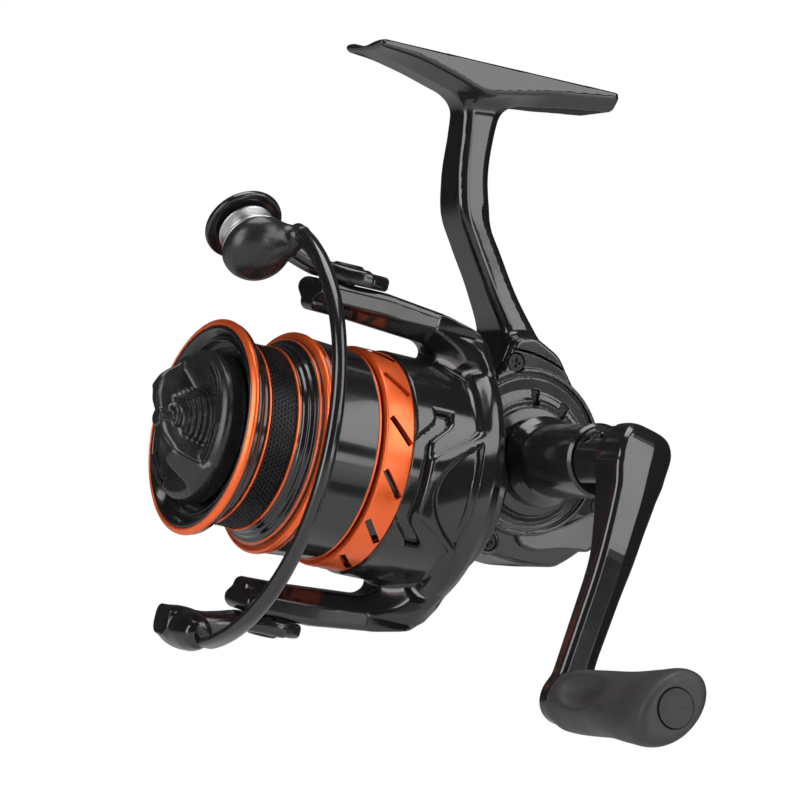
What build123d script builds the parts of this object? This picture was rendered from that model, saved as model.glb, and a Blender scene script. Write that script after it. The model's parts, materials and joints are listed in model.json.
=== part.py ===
from build123d import *
from math import atan2, cos, degrees, radians, sin, sqrt, tan
import os

# A front-drag spinning reel.  Millimetres, +Z up to the foot, the spool's axis along X with
# the spool at the -X end, the crank handle on the -Y side.  The origin is the middle of the
# foot's seat.  A station is a distance behind the front plane of the spool's lip.

# ---------------------------------------------------------------- driving dimensions
# foot and stem
foot_length = 55.0
foot_width = 15.0
foot_tilt = 1.8             # degrees: the front end of the foot is the lower one
foot_edge = 1.6             # thickness of the foot at its tips
foot_root = 6.2             # thickness of the foot at the stem
saddle_width = 10.6         # the channel along the foot that fits a round rod seat
saddle_depth = 1.0
spool_drop = 81.4           # foot seat down to the spool's axis
lip_lead = 48.6             # foot centre forward to the spool's lip
stem_front = 44.9           # station of the stem's straight front face
stem_width = 7.2            # fore-and-aft size of the stem
stem_thick = 8.2            # sideways size of the stem

# spool
lip_radius = 21.0
lip_width = 2.3
arbor_radius = 17.6
band_radius = arbor_radius + 0.4
band_front = 5.4            # stations of the knurled band on the arbor
band_rear = 12.1
line_ring = 0.45            # width of the thin coloured rings
flange_station = 16.0
flange_radius = 21.7
flange_width = 1.3
skirt_front_radius = flange_radius - 0.4
skirt_rear_radius = flange_radius - 1.0
spool_length = 28.3
skirt_wall = 1.4
hub_radius = 6.0
hub_bore = 3.0
hub_rear = 20.5
chamber_radius = 13.2       # the drag washers' chamber
chamber_front = 3.8
chamber_depth = 5.2
stroke = 9.5                # how far the spool travels forward

# main shaft and drag
shaft_radius = 1.25
running_gap = 0.05          # radial clearance of every running fit
washer_thick = 0.75
washer_gap = 0.05
knob_radius = 14.7
knob_rim = 2.4              # the knob's rim stands this far ahead of the lip
knob_height = 9.2           # and its wing this far
knob_rear = 2.4
wing_lean = 28.0            # degrees the knob's wing leans from upright at rest

# rotor
rotor_lean = 8.0            # degrees: the arm pair is turned towards the handle at the top
rotor_front = 29.1
rotor_rear = 54.9
rotor_radius = 22.2
rotor_wall = 2.2
rotor_inner = 19.6
band_width = 6.0            # the coloured band at the front of the rotor
band_slots = 13
band_outer = 21.7
band_seat = 20.6
hoop_side = 22.8            # half width and half height of the rotor's rear hoop
hoop_top = 26.4
hoop_front = 50.6
arm_tip = 16.2
arm_inner = 26.2
arm_outer = 32.8
arm_width = 11.0
bail_pivot = 23.5
wire_station = 7.0
wire_reach = 41.0           # the wire's arc runs round the spool's axis at this radius
wire_radius = 1.1

# gears
gear_teeth = 40
pinion_teeth = 8
gear_radius = 14.0
gear_face = 2.6             # length of the drive gear's face teeth
gear_tooth = 0.55
mesh_radius = 12.8          # middle of the face teeth, where the pinion meshes
pinion_root = 1.85
pinion_tip = 2.75
spur_teeth = 12
cam_teeth = 20
spur_pitch = 4.2
cam_drop = 9.4              # the oscillation gear's axis below the handle's axis

# handle
handle_station = 66.5
handle_rise = 6.0           # the handle's axis above the spool's axis
crank_lean = 12.0           # degrees: the hanging crank leans forward at rest
crank_radius = 48.6
shank_end = 38.2            # distances out from the spool's axis
hub_in = 46.9
arm_face = 57.7             # outer face of the lower arm
arm_thick = 4.3
pin_out = 43.7              # where the fold pin crosses the shank
pin_rise = 1.3
fold_pin_radius = 1.1
shank_radius = 7.2
collar_radius = 8.8
tube_radius = 2.8
spindle_radius = 1.7
knob_length = 36.0
knob_gap = 0.5
knob_pin_radius = 1.6

# body
case_near = 8.2             # the body's open side, where the side cover seats
case_far = 9.4
cover_thick = 2.0
case_wall = 1.8
nose_radius = 18.9
nose_front = 47.5
clutch_radius = 9.0

# ---------------------------------------------------------------- datums
axis_z = -spool_drop
lip_x = -lip_lead
handle_x = lip_x + handle_station
handle_z = axis_z + handle_rise
front = Vector(-1, 0, 0)

spool_axis = Axis((lip_x, 0, axis_z), (1, 0, 0))
handle_axis = Axis((handle_x, 0, handle_z), (0, -1, 0))

# station (local x) and height over the spool's axis (local y), seen from the handle's side
side_plane = Plane(origin=(lip_x, 0, axis_z), x_dir=(1, 0, 0), z_dir=(0, -1, 0))
# distance out (local x) and radius (local y) of pieces turned about the handle's axis
shank_plane = Plane(origin=(handle_x, 0, handle_z), x_dir=(0, -1, 0), z_dir=(-1, 0, 0))

# the rotor's own side plane, turned with the arm pair, and its directions
rotor_up = Vector(0, -sin(radians(rotor_lean)), cos(radians(rotor_lean)))
rotor_near = Vector(0, -cos(radians(rotor_lean)), -sin(radians(rotor_lean)))
arm_plane = Plane(origin=(lip_x, 0, axis_z), x_dir=(1, 0, 0), z_dir=rotor_near)

# the crank hangs in its own plane
crank_side = Vector(cos(radians(crank_lean)), 0, -sin(radians(crank_lean)))
crank_up = Vector(sin(radians(crank_lean)), 0, cos(radians(crank_lean)))
crank_plane = Plane(origin=(handle_x, 0, handle_z), x_dir=crank_side, z_dir=(0, -1, 0))
crank_profile = Plane(origin=(handle_x, 0, handle_z), x_dir=(0, -1, 0), z_dir=crank_side * -1)


def station(s):
    """The plane across the spool's axis at a station: local x is +Y, local y is +Z."""
    return Plane(origin=(lip_x + s, 0, axis_z), x_dir=(0, 1, 0), z_dir=(1, 0, 0))


def rotor_station(s):
    """The same plane turned with the rotor: local x points away from the handle."""
    return Plane(origin=(lip_x + s, 0, axis_z), x_dir=rotor_near * -1, z_dir=(1, 0, 0))


def across(y):
    """The plane across the handle's axis at a Y: local x is +X, local y is +Z."""
    return Plane(origin=(handle_x, y, handle_z), x_dir=(1, 0, 0), z_dir=(0, -1, 0))


def outline(plane, *points):
    """A filled polygon on a plane."""
    with BuildSketch(plane) as drawn:
        with BuildLine():
            Polyline(*points, close=True)
        make_face()
    return drawn.sketch


def ring(s0, s1, inner, outer):
    """The section of a plain ring about the spool's axis."""
    return outline(side_plane, (s0, inner), (s0, outer), (s1, outer), (s1, inner))


def sleeve(y0, y1, inner, outer):
    """The section of a plain ring about the handle's axis, between two Y values."""
    return outline(shank_plane, (-y0, inner), (-y0, outer), (-y1, outer), (-y1, inner))


def disc(plane, radius, centre=(0, 0)):
    """A filled circle on a plane."""
    with BuildSketch(plane) as drawn:
        with Locations(centre):
            Circle(radius)
    return drawn.sketch


def oval(plane, half_wide, half_high):
    """A filled ellipse on a plane."""
    with BuildSketch(plane) as drawn:
        Ellipse(half_wide, half_high)
    return drawn.sketch


def save(builder, name):
    """Label one finished piece and write it."""
    builder.part.label = name
    export_step(builder.part, f"parts/{name}.step")


os.makedirs("parts", exist_ok=True)

# ================================================================ spool group
lip_rear = lip_width
rear_floor = chamber_front + chamber_depth + 2.0
skirt_inner = skirt_rear_radius - skirt_wall
flare = flange_radius - 1.4 - arbor_radius

with BuildPart() as lip_ring:
    revolve(outline(side_plane,
                    (0.0, lip_radius - 2.1), (0.0, lip_radius - 1.5), (0.6, lip_radius - 0.3),
                    (1.1, lip_radius), (lip_rear - 0.3, lip_radius),
                    (lip_rear, lip_radius - 0.4), (lip_rear, lip_radius - 2.1)),
            axis=spool_axis)
save(lip_ring, "lip_ring")

with BuildPart() as spool:
    lip_seat = lip_radius - 2.1
    revolve(outline(side_plane,
                    (0.8, lip_seat), (0.8, lip_seat - 0.5), (1.8, lip_seat - 1.5),
                    (2.4, lip_seat - 1.7), (2.8, lip_seat - 2.8), (3.4, lip_seat - 3.0),
                    (chamber_front, lip_seat - 3.9), (chamber_front, chamber_radius),
                    (chamber_front + chamber_depth, chamber_radius),
                    (chamber_front + chamber_depth, hub_bore),
                    (hub_rear, hub_bore), (hub_rear, hub_radius),
                    (rear_floor, hub_radius), (rear_floor, arbor_radius - 2.2),
                    (band_rear + 2.2, arbor_radius - 2.2),
                    (flange_station + 1.6, skirt_inner), (spool_length, skirt_inner),
                    (spool_length, skirt_rear_radius - 0.3),
                    (spool_length - 0.6, skirt_rear_radius),
                    (flange_station + flange_width + 0.9, skirt_front_radius),
                    (flange_station + flange_width, skirt_front_radius - 0.4),
                    (flange_station + flange_width, flange_radius - 1.6),
                    (flange_station, flange_radius - 1.6),
                    (flange_station - 0.5, arbor_radius + 0.98 * flare),
                    (flange_station - 1.4, arbor_radius + 0.52 * flare),
                    (flange_station - 2.3, arbor_radius + 0.37 * flare),
                    (flange_station - 2.9, arbor_radius),
                    (band_rear, arbor_radius), (band_rear, arbor_radius - 0.5),
                    (band_front, arbor_radius - 0.5), (band_front, arbor_radius),
                    (lip_rear + 2.2, arbor_radius), (lip_rear + 0.4, lip_radius - 0.8),
                    (lip_rear, lip_radius - 0.8), (lip_rear, lip_seat)),
            axis=spool_axis)
save(spool, "spool")

with BuildPart() as arbor_band:
    revolve(ring(band_front + line_ring, band_rear - line_ring,
                 arbor_radius - 0.5, band_radius - 0.25), axis=spool_axis)
save(arbor_band, "arbor_band")

with BuildPart() as arbor_rings:
    revolve(ring(band_front, band_front + line_ring, arbor_radius - 0.5, band_radius),
            axis=spool_axis)
    revolve(ring(band_rear - line_ring, band_rear, arbor_radius - 0.5, band_radius),
            axis=spool_axis)
save(arbor_rings, "arbor_rings")

with BuildPart() as flange_ring:
    revolve(outline(side_plane,
                    (flange_station, flange_radius - 1.6),
                    (flange_station, flange_radius - 0.5),
                    (flange_station + 0.4, flange_radius),
                    (flange_station + flange_width - 0.2, flange_radius),
                    (flange_station + flange_width, flange_radius - 0.3),
                    (flange_station + flange_width, flange_radius - 1.6)),
            axis=spool_axis)
save(flange_ring, "flange_ring")

click_front = hub_rear
with BuildPart() as click_gear:
    with BuildSketch(station(click_front)):
        Circle(hub_radius + 1.2)
        with PolarLocations(hub_radius + 1.3, 24):
            Rectangle(0.9, 0.8)
        Circle(hub_bore, mode=Mode.SUBTRACT)
    extrude(amount=1.2)
save(click_gear, "click_gear")

# the drag stack, from the chamber's floor to its mouth
chamber_floor = chamber_front + chamber_depth
pitch = washer_thick + washer_gap
felt_stations = [chamber_floor - washer_thick - 2 * pitch * i for i in range(3)]
plate_stations = [s - pitch for s in felt_stations]

with BuildPart() as drag_felts:
    for s in felt_stations:
        revolve(ring(s, s + washer_thick, hub_bore + 1.0, chamber_radius - 0.6),
                axis=spool_axis)
save(drag_felts, "drag_felts")

with BuildPart() as drag_plates:
    for s in plate_stations:
        revolve(ring(s, s + washer_thick, shaft_radius, chamber_radius - 0.9),
                axis=spool_axis)
save(drag_plates, "drag_plates")

retainer_rear = plate_stations[-1] - 0.1
with BuildPart() as drag_retainer:
    revolve(ring(retainer_rear - 0.5, retainer_rear, chamber_radius - 1.3, chamber_radius),
            axis=spool_axis)
save(drag_retainer, "drag_retainer")

# ================================================================ drag knob group
rim_front = -knob_rim
wing_front = -knob_height
nut_front = -3.9
nut_rear = 0.8
nut_radius = 3.0
crest = ((wing_front - 1, knob_radius + 1), (wing_front - 1, 3.5), (wing_front, 3.5),
         (wing_front + 1.2, 7.0), (rim_front - 2.4, 10.5), (rim_front - 0.4, knob_radius - 1.4),
         (rim_front - 0.4, knob_radius + 1))
# the wing leans away from upright
wing_up = Vector(0, sin(radians(wing_lean)), cos(radians(wing_lean)))
wing_across = Vector(0, cos(radians(wing_lean)), -sin(radians(wing_lean)))
knob_face = Plane(origin=(lip_x + rim_front + 2.2, 0, axis_z), x_dir=wing_across,
                  z_dir=(1, 0, 0))
wing_side = Plane(origin=(lip_x, 0, axis_z), x_dir=(1, 0, 0), z_dir=wing_across * -1)
with BuildPart() as drag_knob:
    revolve(outline(side_plane,
                    (wing_front + 1.6, 0), (wing_front + 1.6, 2.3), (wing_front + 2.6, 3.0),
                    (rim_front + 1.6, 4.6), (rim_front + 2.0, knob_radius - 4.2),
                    (rim_front - 0.2, knob_radius - 3.4), (rim_front, knob_radius - 1.2),
                    (rim_front + 0.8, knob_radius - 0.2), (rim_front + 1.8, knob_radius),
                    (knob_rear - 0.4, knob_radius), (knob_rear, knob_radius - 0.4),
                    (knob_rear, knob_radius - 1.8), (rim_front + 3.4, knob_radius - 1.8),
                    (rim_front + 3.4, nut_radius + 1.4), (nut_rear, nut_radius + 1.4),
                    (nut_rear, 0)), axis=spool_axis)
    # the wing: a bar across the face that flares out to the rim and falls towards it
    extrude(outline(knob_face,
                    (-2.2, 0), (-2.5, 3.0), (-5.6, knob_radius - 2.6), (0, knob_radius - 1.2),
                    (5.6, knob_radius - 2.6), (2.5, 3.0), (2.2, 0), (2.5, -3.0),
                    (5.6, 2.6 - knob_radius), (0, 1.2 - knob_radius),
                    (-5.6, 2.6 - knob_radius), (-2.5, -3.0)),
            amount=-(knob_height - knob_rim + 2.2))
    extrude(outline(wing_side, *crest), amount=knob_radius, both=True, mode=Mode.SUBTRACT)
    extrude(outline(wing_side, *[(s, -r) for s, r in crest]), amount=knob_radius, both=True,
            mode=Mode.SUBTRACT)
    extrude(disc(station(nut_front), nut_radius), amount=nut_rear - nut_front,
            mode=Mode.SUBTRACT)
save(drag_knob, "drag_knob")

with BuildPart() as knob_nut:
    revolve(ring(nut_front, nut_rear, shaft_radius, nut_radius), axis=spool_axis)
save(knob_nut, "knob_nut")

spring_front = rim_front + 3.5
spring_rear = plate_stations[-1] - 0.15
with BuildPart() as knob_spring:
    # a wave spring between the knob and the last drag plate
    for s in (spring_front, (spring_front + spring_rear) / 2 - 0.2, spring_rear - 0.4):
        revolve(ring(s, s + 0.4, 6.4, 7.6), axis=spool_axis)
    for angle in (0, 180):
        with BuildSketch(station(spring_front)):
            with PolarLocations(7.0, 1, start_angle=angle):
                Circle(0.5)
        extrude(amount=(spring_front + spring_rear) / 2 - spring_front)
    for angle in (90, 270):
        with BuildSketch(station((spring_front + spring_rear) / 2)):
            with PolarLocations(7.0, 1, start_angle=angle):
                Circle(0.5)
        extrude(amount=(spring_rear - spring_front) / 2)
save(knob_spring, "knob_spring")

# ================================================================ main shaft group
cam_reach = stroke / 2
cam_distance = spur_pitch * (1 + cam_teeth / spur_teeth)
cam_pitch = spur_pitch * cam_teeth / spur_teeth
cam_shift = sqrt(cam_distance ** 2 - cam_drop ** 2)
cam_station = handle_station + cam_shift
cam_rise = handle_rise - cam_drop
slider_station = cam_station + cam_reach
slider_half = 2.6
shaft_front = -3.6
shaft_rear = slider_station + slider_half
slider_near = 2.2
slider_far = 1.5
rod_rise = cam_rise - 4.2
rod_radius = 1.0
crank_pin = 0.9

with BuildPart() as main_shaft:
    revolve(outline(side_plane,
                    (shaft_front, 0), (shaft_front, shaft_radius - 0.25),
                    (shaft_front + 0.4, shaft_radius), (shaft_rear, shaft_radius),
                    (shaft_rear, 0)), axis=spool_axis)
save(main_shaft, "main_shaft")

with BuildPart() as spool_support:
    # the sleeve that carries the spool and the shoulder behind it
    revolve(outline(side_plane,
                    (chamber_floor + 0.1, shaft_radius), (chamber_floor + 0.1, hub_bore - running_gap),
                    (hub_rear + 1.5, hub_bore - running_gap), (hub_rear + 1.5, hub_radius - 0.6),
                    (hub_rear + 3.0, hub_radius - 0.6), (hub_rear + 3.4, hub_radius - 1.2),
                    (hub_rear + 4.4, hub_radius - 1.2), (hub_rear + 4.4, shaft_radius)),
            axis=spool_axis)
save(spool_support, "spool_support")

with BuildPart() as slider:
    slider_top = handle_rise - tube_radius - 0.35
    slider_bottom = rod_rise - rod_radius - 0.9
    with BuildSketch(side_plane.offset(-slider_far)):
        with Locations((slider_station, (slider_top + slider_bottom) / 2)):
            RectangleRounded(2 * slider_half, slider_top - slider_bottom, 0.6)
    extrude(amount=slider_far + slider_near)
    # the slot for the crank pin, a hole for the shaft and one for the guide rod
    slot_half = crank_pin + 0.25
    slot_top = cam_rise + cam_reach + slot_half
    slot_bottom = cam_rise - cam_reach - slot_half
    with BuildSketch(side_plane.offset(slider_near)):
        with Locations((slider_station, (slot_top + slot_bottom) / 2)):
            Rectangle(2 * slot_half, slot_top - slot_bottom)
    extrude(amount=-0.8, mode=Mode.SUBTRACT)
    with BuildSketch(station(slider_station - slider_half)):
        Circle(shaft_radius)
        with Locations((0, rod_rise)):
            Circle(rod_radius + running_gap)
    extrude(amount=2 * slider_half, mode=Mode.SUBTRACT)
save(slider, "oscillation_slider")

with BuildPart() as slider_screw:
    # the screw that locks the slider on the shaft's rear end
    revolve(outline(side_plane, (shaft_rear, 0), (shaft_rear, 2.0), (shaft_rear + 0.9, 2.0),
                    (shaft_rear + 1.2, 1.6), (shaft_rear + 1.2, 0)), axis=spool_axis)
save(slider_screw, "slider_screw")

# ================================================================ rotor group
band_rear_edge = rotor_front + band_width
wall_front = band_rear_edge + 0.9
wall_rear = wall_front + rotor_wall
hub_back = wall_rear + 1.2
teeth_front = 50.6
teeth_rear = 58.4
pinion_sleeve = pinion_tip

# a bail arm turns about a screw at the tip of each rotor arm
pivot_post = 2.0
pivot_thread = 1.5
pivot_head = 3.1
plate_in = arm_outer + 0.1
plate_out = plate_in + 3.0
cover_in = 1.2
cover_half = 4.2
pocket_half = 3.2
pocket_floor = arm_inner + 1.2
cover_screw_station = 29.4
screw_core = 0.8
screw_head = 1.5


def along_arm(turn, s):
    """The axis that runs out along a rotor arm's radius at a station."""
    base = Vector(lip_x + s, 0, axis_z)
    return Axis(base, rotor_up * turn)


def pin_section(turn, s, *points):
    """The section of a turned pin on that axis, as (radius, height) pairs."""
    return outline(arm_plane, *[(s + r, turn * h) for r, h in points])


def arm_pins(s, *points):
    """One turned pin in each rotor arm."""
    for turn in (1, -1):
        revolve(pin_section(turn, s, *points), axis=along_arm(turn, s))


def arm_pin_holes(s, *points):
    """The matching hole in each rotor arm."""
    for turn in (1, -1):
        revolve(pin_section(turn, s, *points), axis=along_arm(turn, s), mode=Mode.SUBTRACT)


# the bends of the arm's outer face towards the rear
arm_bends = ((bail_pivot + 8.0, arm_outer), (44.5, arm_outer - 1.3), (50.0, arm_outer - 3.1),
             (53.0, arm_outer - 5.2), (rotor_rear, arm_outer - 8.2))
cover_line = ((cover_screw_station - 2.6, arm_outer),) + arm_bends[:2] + (
    (48.6, arm_outer - 2.64),)
cover_profile = cover_line + tuple((s, r - cover_in) for s, r in reversed(cover_line))
pocket_profile = ((cover_screw_station + 2.4, pocket_floor),
                  (cover_screw_station + 2.4, 40), (46.0, 40), (46.0, pocket_floor))
screw_end = arm_outer - 4.0
cover_screw = ((0, screw_end), (screw_core, screw_end), (screw_core, arm_outer - 0.8),
               (screw_head, arm_outer - 0.8), (screw_head, arm_outer - 0.1),
               (0, arm_outer - 0.1))
cover_screw_hole = ((0, screw_end), (screw_core, screw_end), (screw_core, arm_outer - 0.8),
                    (screw_head, arm_outer - 0.8), (screw_head, arm_outer + 1),
                    (0, arm_outer + 1))
pivot_screw = ((0, arm_inner + 1.4), (pivot_thread, arm_inner + 1.4),
               (pivot_thread, arm_outer), (pivot_post, arm_outer),
               (pivot_post, plate_out - 0.6), (pivot_head, plate_out - 0.6),
               (pivot_head, plate_out + 0.5), (pivot_head - 0.5, plate_out + 0.9),
               (0, plate_out + 0.9))
pivot_hole = ((0, arm_inner + 1.4), (pivot_thread, arm_inner + 1.4),
              (pivot_thread, arm_outer), (0, arm_outer))

with BuildPart() as rotor:
    # the rear hoop, taller than it is wide, that carries both arms
    loft([oval(rotor_station(hoop_front - 4.0), rotor_radius, rotor_radius),
          oval(rotor_station(hoop_front), hoop_side - 0.2, hoop_top),
          oval(rotor_station(rotor_rear - 1.0), hoop_side, hoop_top - 0.4),
          oval(rotor_station(rotor_rear), hoop_side - 0.5, hoop_top - 1.4)], ruled=True)
    extrude(disc(station(rotor_rear), rotor_inner), amount=-20.0, mode=Mode.SUBTRACT)
    # the cup, with the hub on the pinion
    revolve(outline(side_plane,
                    (wall_front, pinion_sleeve), (wall_front, 9.0),
                    (wall_front + 0.6, band_seat - 1.8), (rotor_front + 0.4, band_seat - 1.8),
                    (rotor_front + 0.4, band_seat), (band_rear_edge, band_seat),
                    (band_rear_edge, band_outer - 0.1), (band_rear_edge + 0.5, rotor_radius),
                    (rotor_rear, rotor_radius), (rotor_rear, rotor_inner),
                    (wall_rear, rotor_inner), (wall_rear, 6.0), (hub_back, 6.0),
                    (hub_back, pinion_sleeve)), axis=spool_axis)
    # the arms
    for turn in (1, -1):
        extrude(outline(arm_plane,
                        (arm_tip, turn * (arm_inner + 1.2)),
                        (arm_tip + 0.2, turn * (arm_outer - 1.0)),
                        (arm_tip + 1.2, turn * arm_outer),
                        *[(s, turn * r) for s, r in arm_bends],
                        (rotor_rear, turn * 20.4), (46.6, turn * 20.4),
                        (44.8, turn * 23.4), (42.0, turn * 25.2), (26.0, turn * arm_inner),
                        (arm_tip + 1.0, turn * arm_inner)), amount=arm_width / 2, both=True)
        extrude(outline(arm_plane, *[(s, turn * r) for s, r in cover_profile]),
                amount=cover_half, both=True, mode=Mode.SUBTRACT)
        extrude(outline(arm_plane, *[(s, turn * r) for s, r in pocket_profile]),
                amount=pocket_half, both=True, mode=Mode.SUBTRACT)
    arm_pin_holes(cover_screw_station, *cover_screw_hole)
    arm_pin_holes(bail_pivot, *pivot_hole)
save(rotor, "rotor")

with BuildPart() as rotor_band:
    revolve(ring(rotor_front, band_rear_edge, band_seat, band_outer), axis=spool_axis)
    revolve(ring(rotor_front, rotor_front + 0.4, band_seat - 1.8, band_seat), axis=spool_axis)
    # slanted slots round the band
    slot_plane = Plane(origin=(lip_x + rotor_front + band_width / 2, 0, axis_z),
                       x_dir=(1, 0, 0), z_dir=(0, -1, 0))
    for i in range(band_slots):
        with BuildSketch(slot_plane.rotated((i * 360 / band_slots, 0, 0)).offset(band_seat - 0.3)):
            Rectangle(band_width + 0.2, 1.3, rotation=-47)
        extrude(amount=2.3, mode=Mode.SUBTRACT)
save(rotor_band, "rotor_band")

with BuildPart() as arm_covers:
    for turn in (1, -1):
        extrude(outline(arm_plane, *[(s, turn * r) for s, r in cover_profile]),
                amount=cover_half, both=True)
    arm_pin_holes(cover_screw_station, *cover_screw_hole)
save(arm_covers, "arm_covers")

with BuildPart() as arm_cover_screws:
    arm_pins(cover_screw_station, *cover_screw)
save(arm_cover_screws, "arm_cover_screws")

with BuildPart() as pivot_screws:
    arm_pins(bail_pivot, *pivot_screw)
save(pivot_screws, "pivot_screws")

coil_rise = pocket_floor + 1.45
coil_start = cover_screw_station + 2.7
coil_plane = Plane(origin=Vector(lip_x + coil_start, 0, axis_z) + rotor_up * coil_rise,
                   x_dir=rotor_near, z_dir=(1, 0, 0))
with BuildPart() as bail_spring:
    with BuildLine() as coil:
        Helix(1.4, 9.8, 0.95, center=coil_plane.origin, direction=(1, 0, 0))
    with BuildSketch(coil.line ^ 0):
        Circle(0.26)
    sweep()
save(bail_spring, "bail_spring")

with BuildPart() as spring_rod:
    with BuildSketch(coil_plane.offset(-0.3)):
        Circle(0.5)
    extrude(amount=13.6)
save(spring_rod, "spring_rod")

with BuildPart() as counterweight:
    extrude(outline(arm_plane, (32.4, -pocket_floor), (32.4, 1.6 - arm_outer),
                    (43.5, 2.7 - arm_outer), (43.5, -pocket_floor)), amount=pocket_half - 0.2,
            both=True)
save(counterweight, "counterweight")

# the pinion: a sleeve through the rotor's hub with the teeth at its rear
pinion_bore = shaft_radius + running_gap
nut_station = wall_front - 2.8
with BuildPart() as pinion:
    revolve(ring(nut_station - 1.2, teeth_front, pinion_bore, pinion_sleeve), axis=spool_axis)
    revolve(ring(teeth_front, teeth_rear, pinion_bore, pinion_root), axis=spool_axis)
    with BuildSketch(station(teeth_front)):
        with PolarLocations(0, pinion_teeth, start_angle=22.5):
            Polygon((pinion_root - 0.2, -0.45), (pinion_tip, -0.2), (pinion_tip, 0.2),
                    (pinion_root - 0.2, 0.45), align=None)
    extrude(amount=teeth_rear - teeth_front)
save(pinion, "pinion")

with BuildPart() as rotor_nut:
    with BuildSketch(station(nut_station)):
        RegularPolygon(5.2, 6)
        Circle(pinion_sleeve, mode=Mode.SUBTRACT)
    extrude(amount=2.2)
save(rotor_nut, "rotor_nut")

with BuildPart() as rotor_washer:
    revolve(ring(nut_station + 2.2, wall_front, pinion_sleeve, 6.4), axis=spool_axis)
save(rotor_washer, "rotor_washer")

with BuildPart() as clutch_sleeve:
    revolve(ring(hub_back, nose_front - 1.7, pinion_sleeve, 4.9), axis=spool_axis)
save(clutch_sleeve, "clutch_sleeve")

# ================================================================ bail group
def bail_point(s, near, rise):
    """A point from a station, a distance towards the handle and a height, rotor at rest."""
    return Vector(lip_x + s, 0, axis_z) + rotor_near * near + rotor_up * rise


# the roller lies slantwise at the front of the upper bail arm
flange_centre = bail_point(0.5, -1.7, 39.1)
dome_centre = bail_point(1.5, 6.0, 34.5)
roller_line = (dome_centre - flange_centre).normalized()
roller_plane = Plane(origin=flange_centre, x_dir=front * -1, z_dir=roller_line)
# distances along the roller's axis from the flange disc
roller_profile = Plane(origin=flange_centre, x_dir=roller_line, z_dir=roller_plane.x_dir)
roller_axis = Axis(flange_centre, roller_line)
flange_disc = 7.7
dome_radius = 6.5
roller_in = 0.8
roller_out = 5.4
pin_radius = 1.5
bush_radius = 2.4

with BuildPart() as bail_arm:
    # the pivot plate on the outer face of the upper rotor arm
    extrude(disc(Plane(origin=bail_point(bail_pivot, 0, plate_in), x_dir=(1, 0, 0),
                       z_dir=rotor_up), 7.4), amount=plate_out - plate_in)
    # the lever that rises forward to the flange disc
    extrude(outline(arm_plane.offset(-5.6),
                    (bail_pivot, plate_in), (15.4, plate_in), (9.5, plate_in + 0.9),
                    (5.4, plate_in + 2.6), (0.4, plate_in + 3.2), (0.4, plate_in + 8.3),
                    (4.9, plate_in + 7.6), (9.5, plate_in + 5.8), (13.5, plate_in + 4.0),
                    (17.5, plate_out), (bail_pivot, plate_out)), amount=9.0)
    revolve(outline(roller_profile, (0.35, 0), (0.35, flange_disc + 1.2),
                    (16, flange_disc + 1.2), (16, 0)), axis=roller_axis, mode=Mode.SUBTRACT)
    # the flange disc with its ribs
    revolve(outline(roller_profile,
                    (-2.2, 0), (-2.2, 4.6), (-1.6, flange_disc - 0.9), (-0.9, flange_disc),
                    (0, flange_disc), (0.3, flange_disc - 0.4), (0.3, flange_disc - 0.9),
                    (0, flange_disc - 1.1), (0, 0)), axis=roller_axis)
    revolve(pin_section(1, bail_pivot, (0, plate_in - 1), (pivot_post + running_gap, plate_in - 1),
                        (pivot_post + running_gap, plate_out - 0.7),
                        (pivot_head + 0.3, plate_out - 0.7), (pivot_head + 0.3, plate_out + 3),
                        (0, plate_out + 3)), axis=along_arm(1, bail_pivot),
            mode=Mode.SUBTRACT)
    revolve(outline(roller_profile, (-4, 0), (-4, pin_radius), (3, pin_radius), (3, 0)),
            axis=roller_axis, mode=Mode.SUBTRACT)
    revolve(outline(roller_profile, (-9, 0), (-9, 3.1), (-2.2, 3.1), (-2.2, 0)),
            axis=roller_axis, mode=Mode.SUBTRACT)
save(bail_arm, "bail_arm")

with BuildPart() as roller_pin:
    revolve(outline(roller_profile,
                    (-3.0, 0), (-3.0, 2.2), (-2.2, 2.8), (-2.2, pin_radius),
                    (roller_in - 0.3, pin_radius), (roller_out + 1.6, pin_radius),
                    (roller_out + 1.6, 0)), axis=roller_axis)
save(roller_pin, "roller_pin")

with BuildPart() as roller_bush:
    revolve(outline(roller_profile,
                    (roller_in, pin_radius + running_gap), (roller_in, bush_radius),
                    (roller_out, bush_radius), (roller_out, pin_radius + running_gap)),
            axis=roller_axis)
save(roller_bush, "roller_bush")

with BuildPart() as line_roller:
    revolve(outline(roller_profile,
                    (roller_in, bush_radius), (roller_in, 5.6), (roller_in + 0.6, 5.6),
                    (roller_in + 1.6, 4.0), (roller_out - 1.9, 4.2), (roller_out - 0.7, 6.2),
                    (roller_out, 6.4), (roller_out, bush_radius)), axis=roller_axis)
save(line_roller, "line_roller")

# the wire's cone holds the other end of the roller's pin and swells out to the wire
wire_start_angle = 80.0
wire_end_angle = -75.0


def wire_point(angle):
    """A point of the wire's arc: 0 faces the handle, 90 points up between the rotor arms."""
    a = radians(angle)
    return bail_point(wire_station, wire_reach * cos(a), wire_reach * sin(a))


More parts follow.
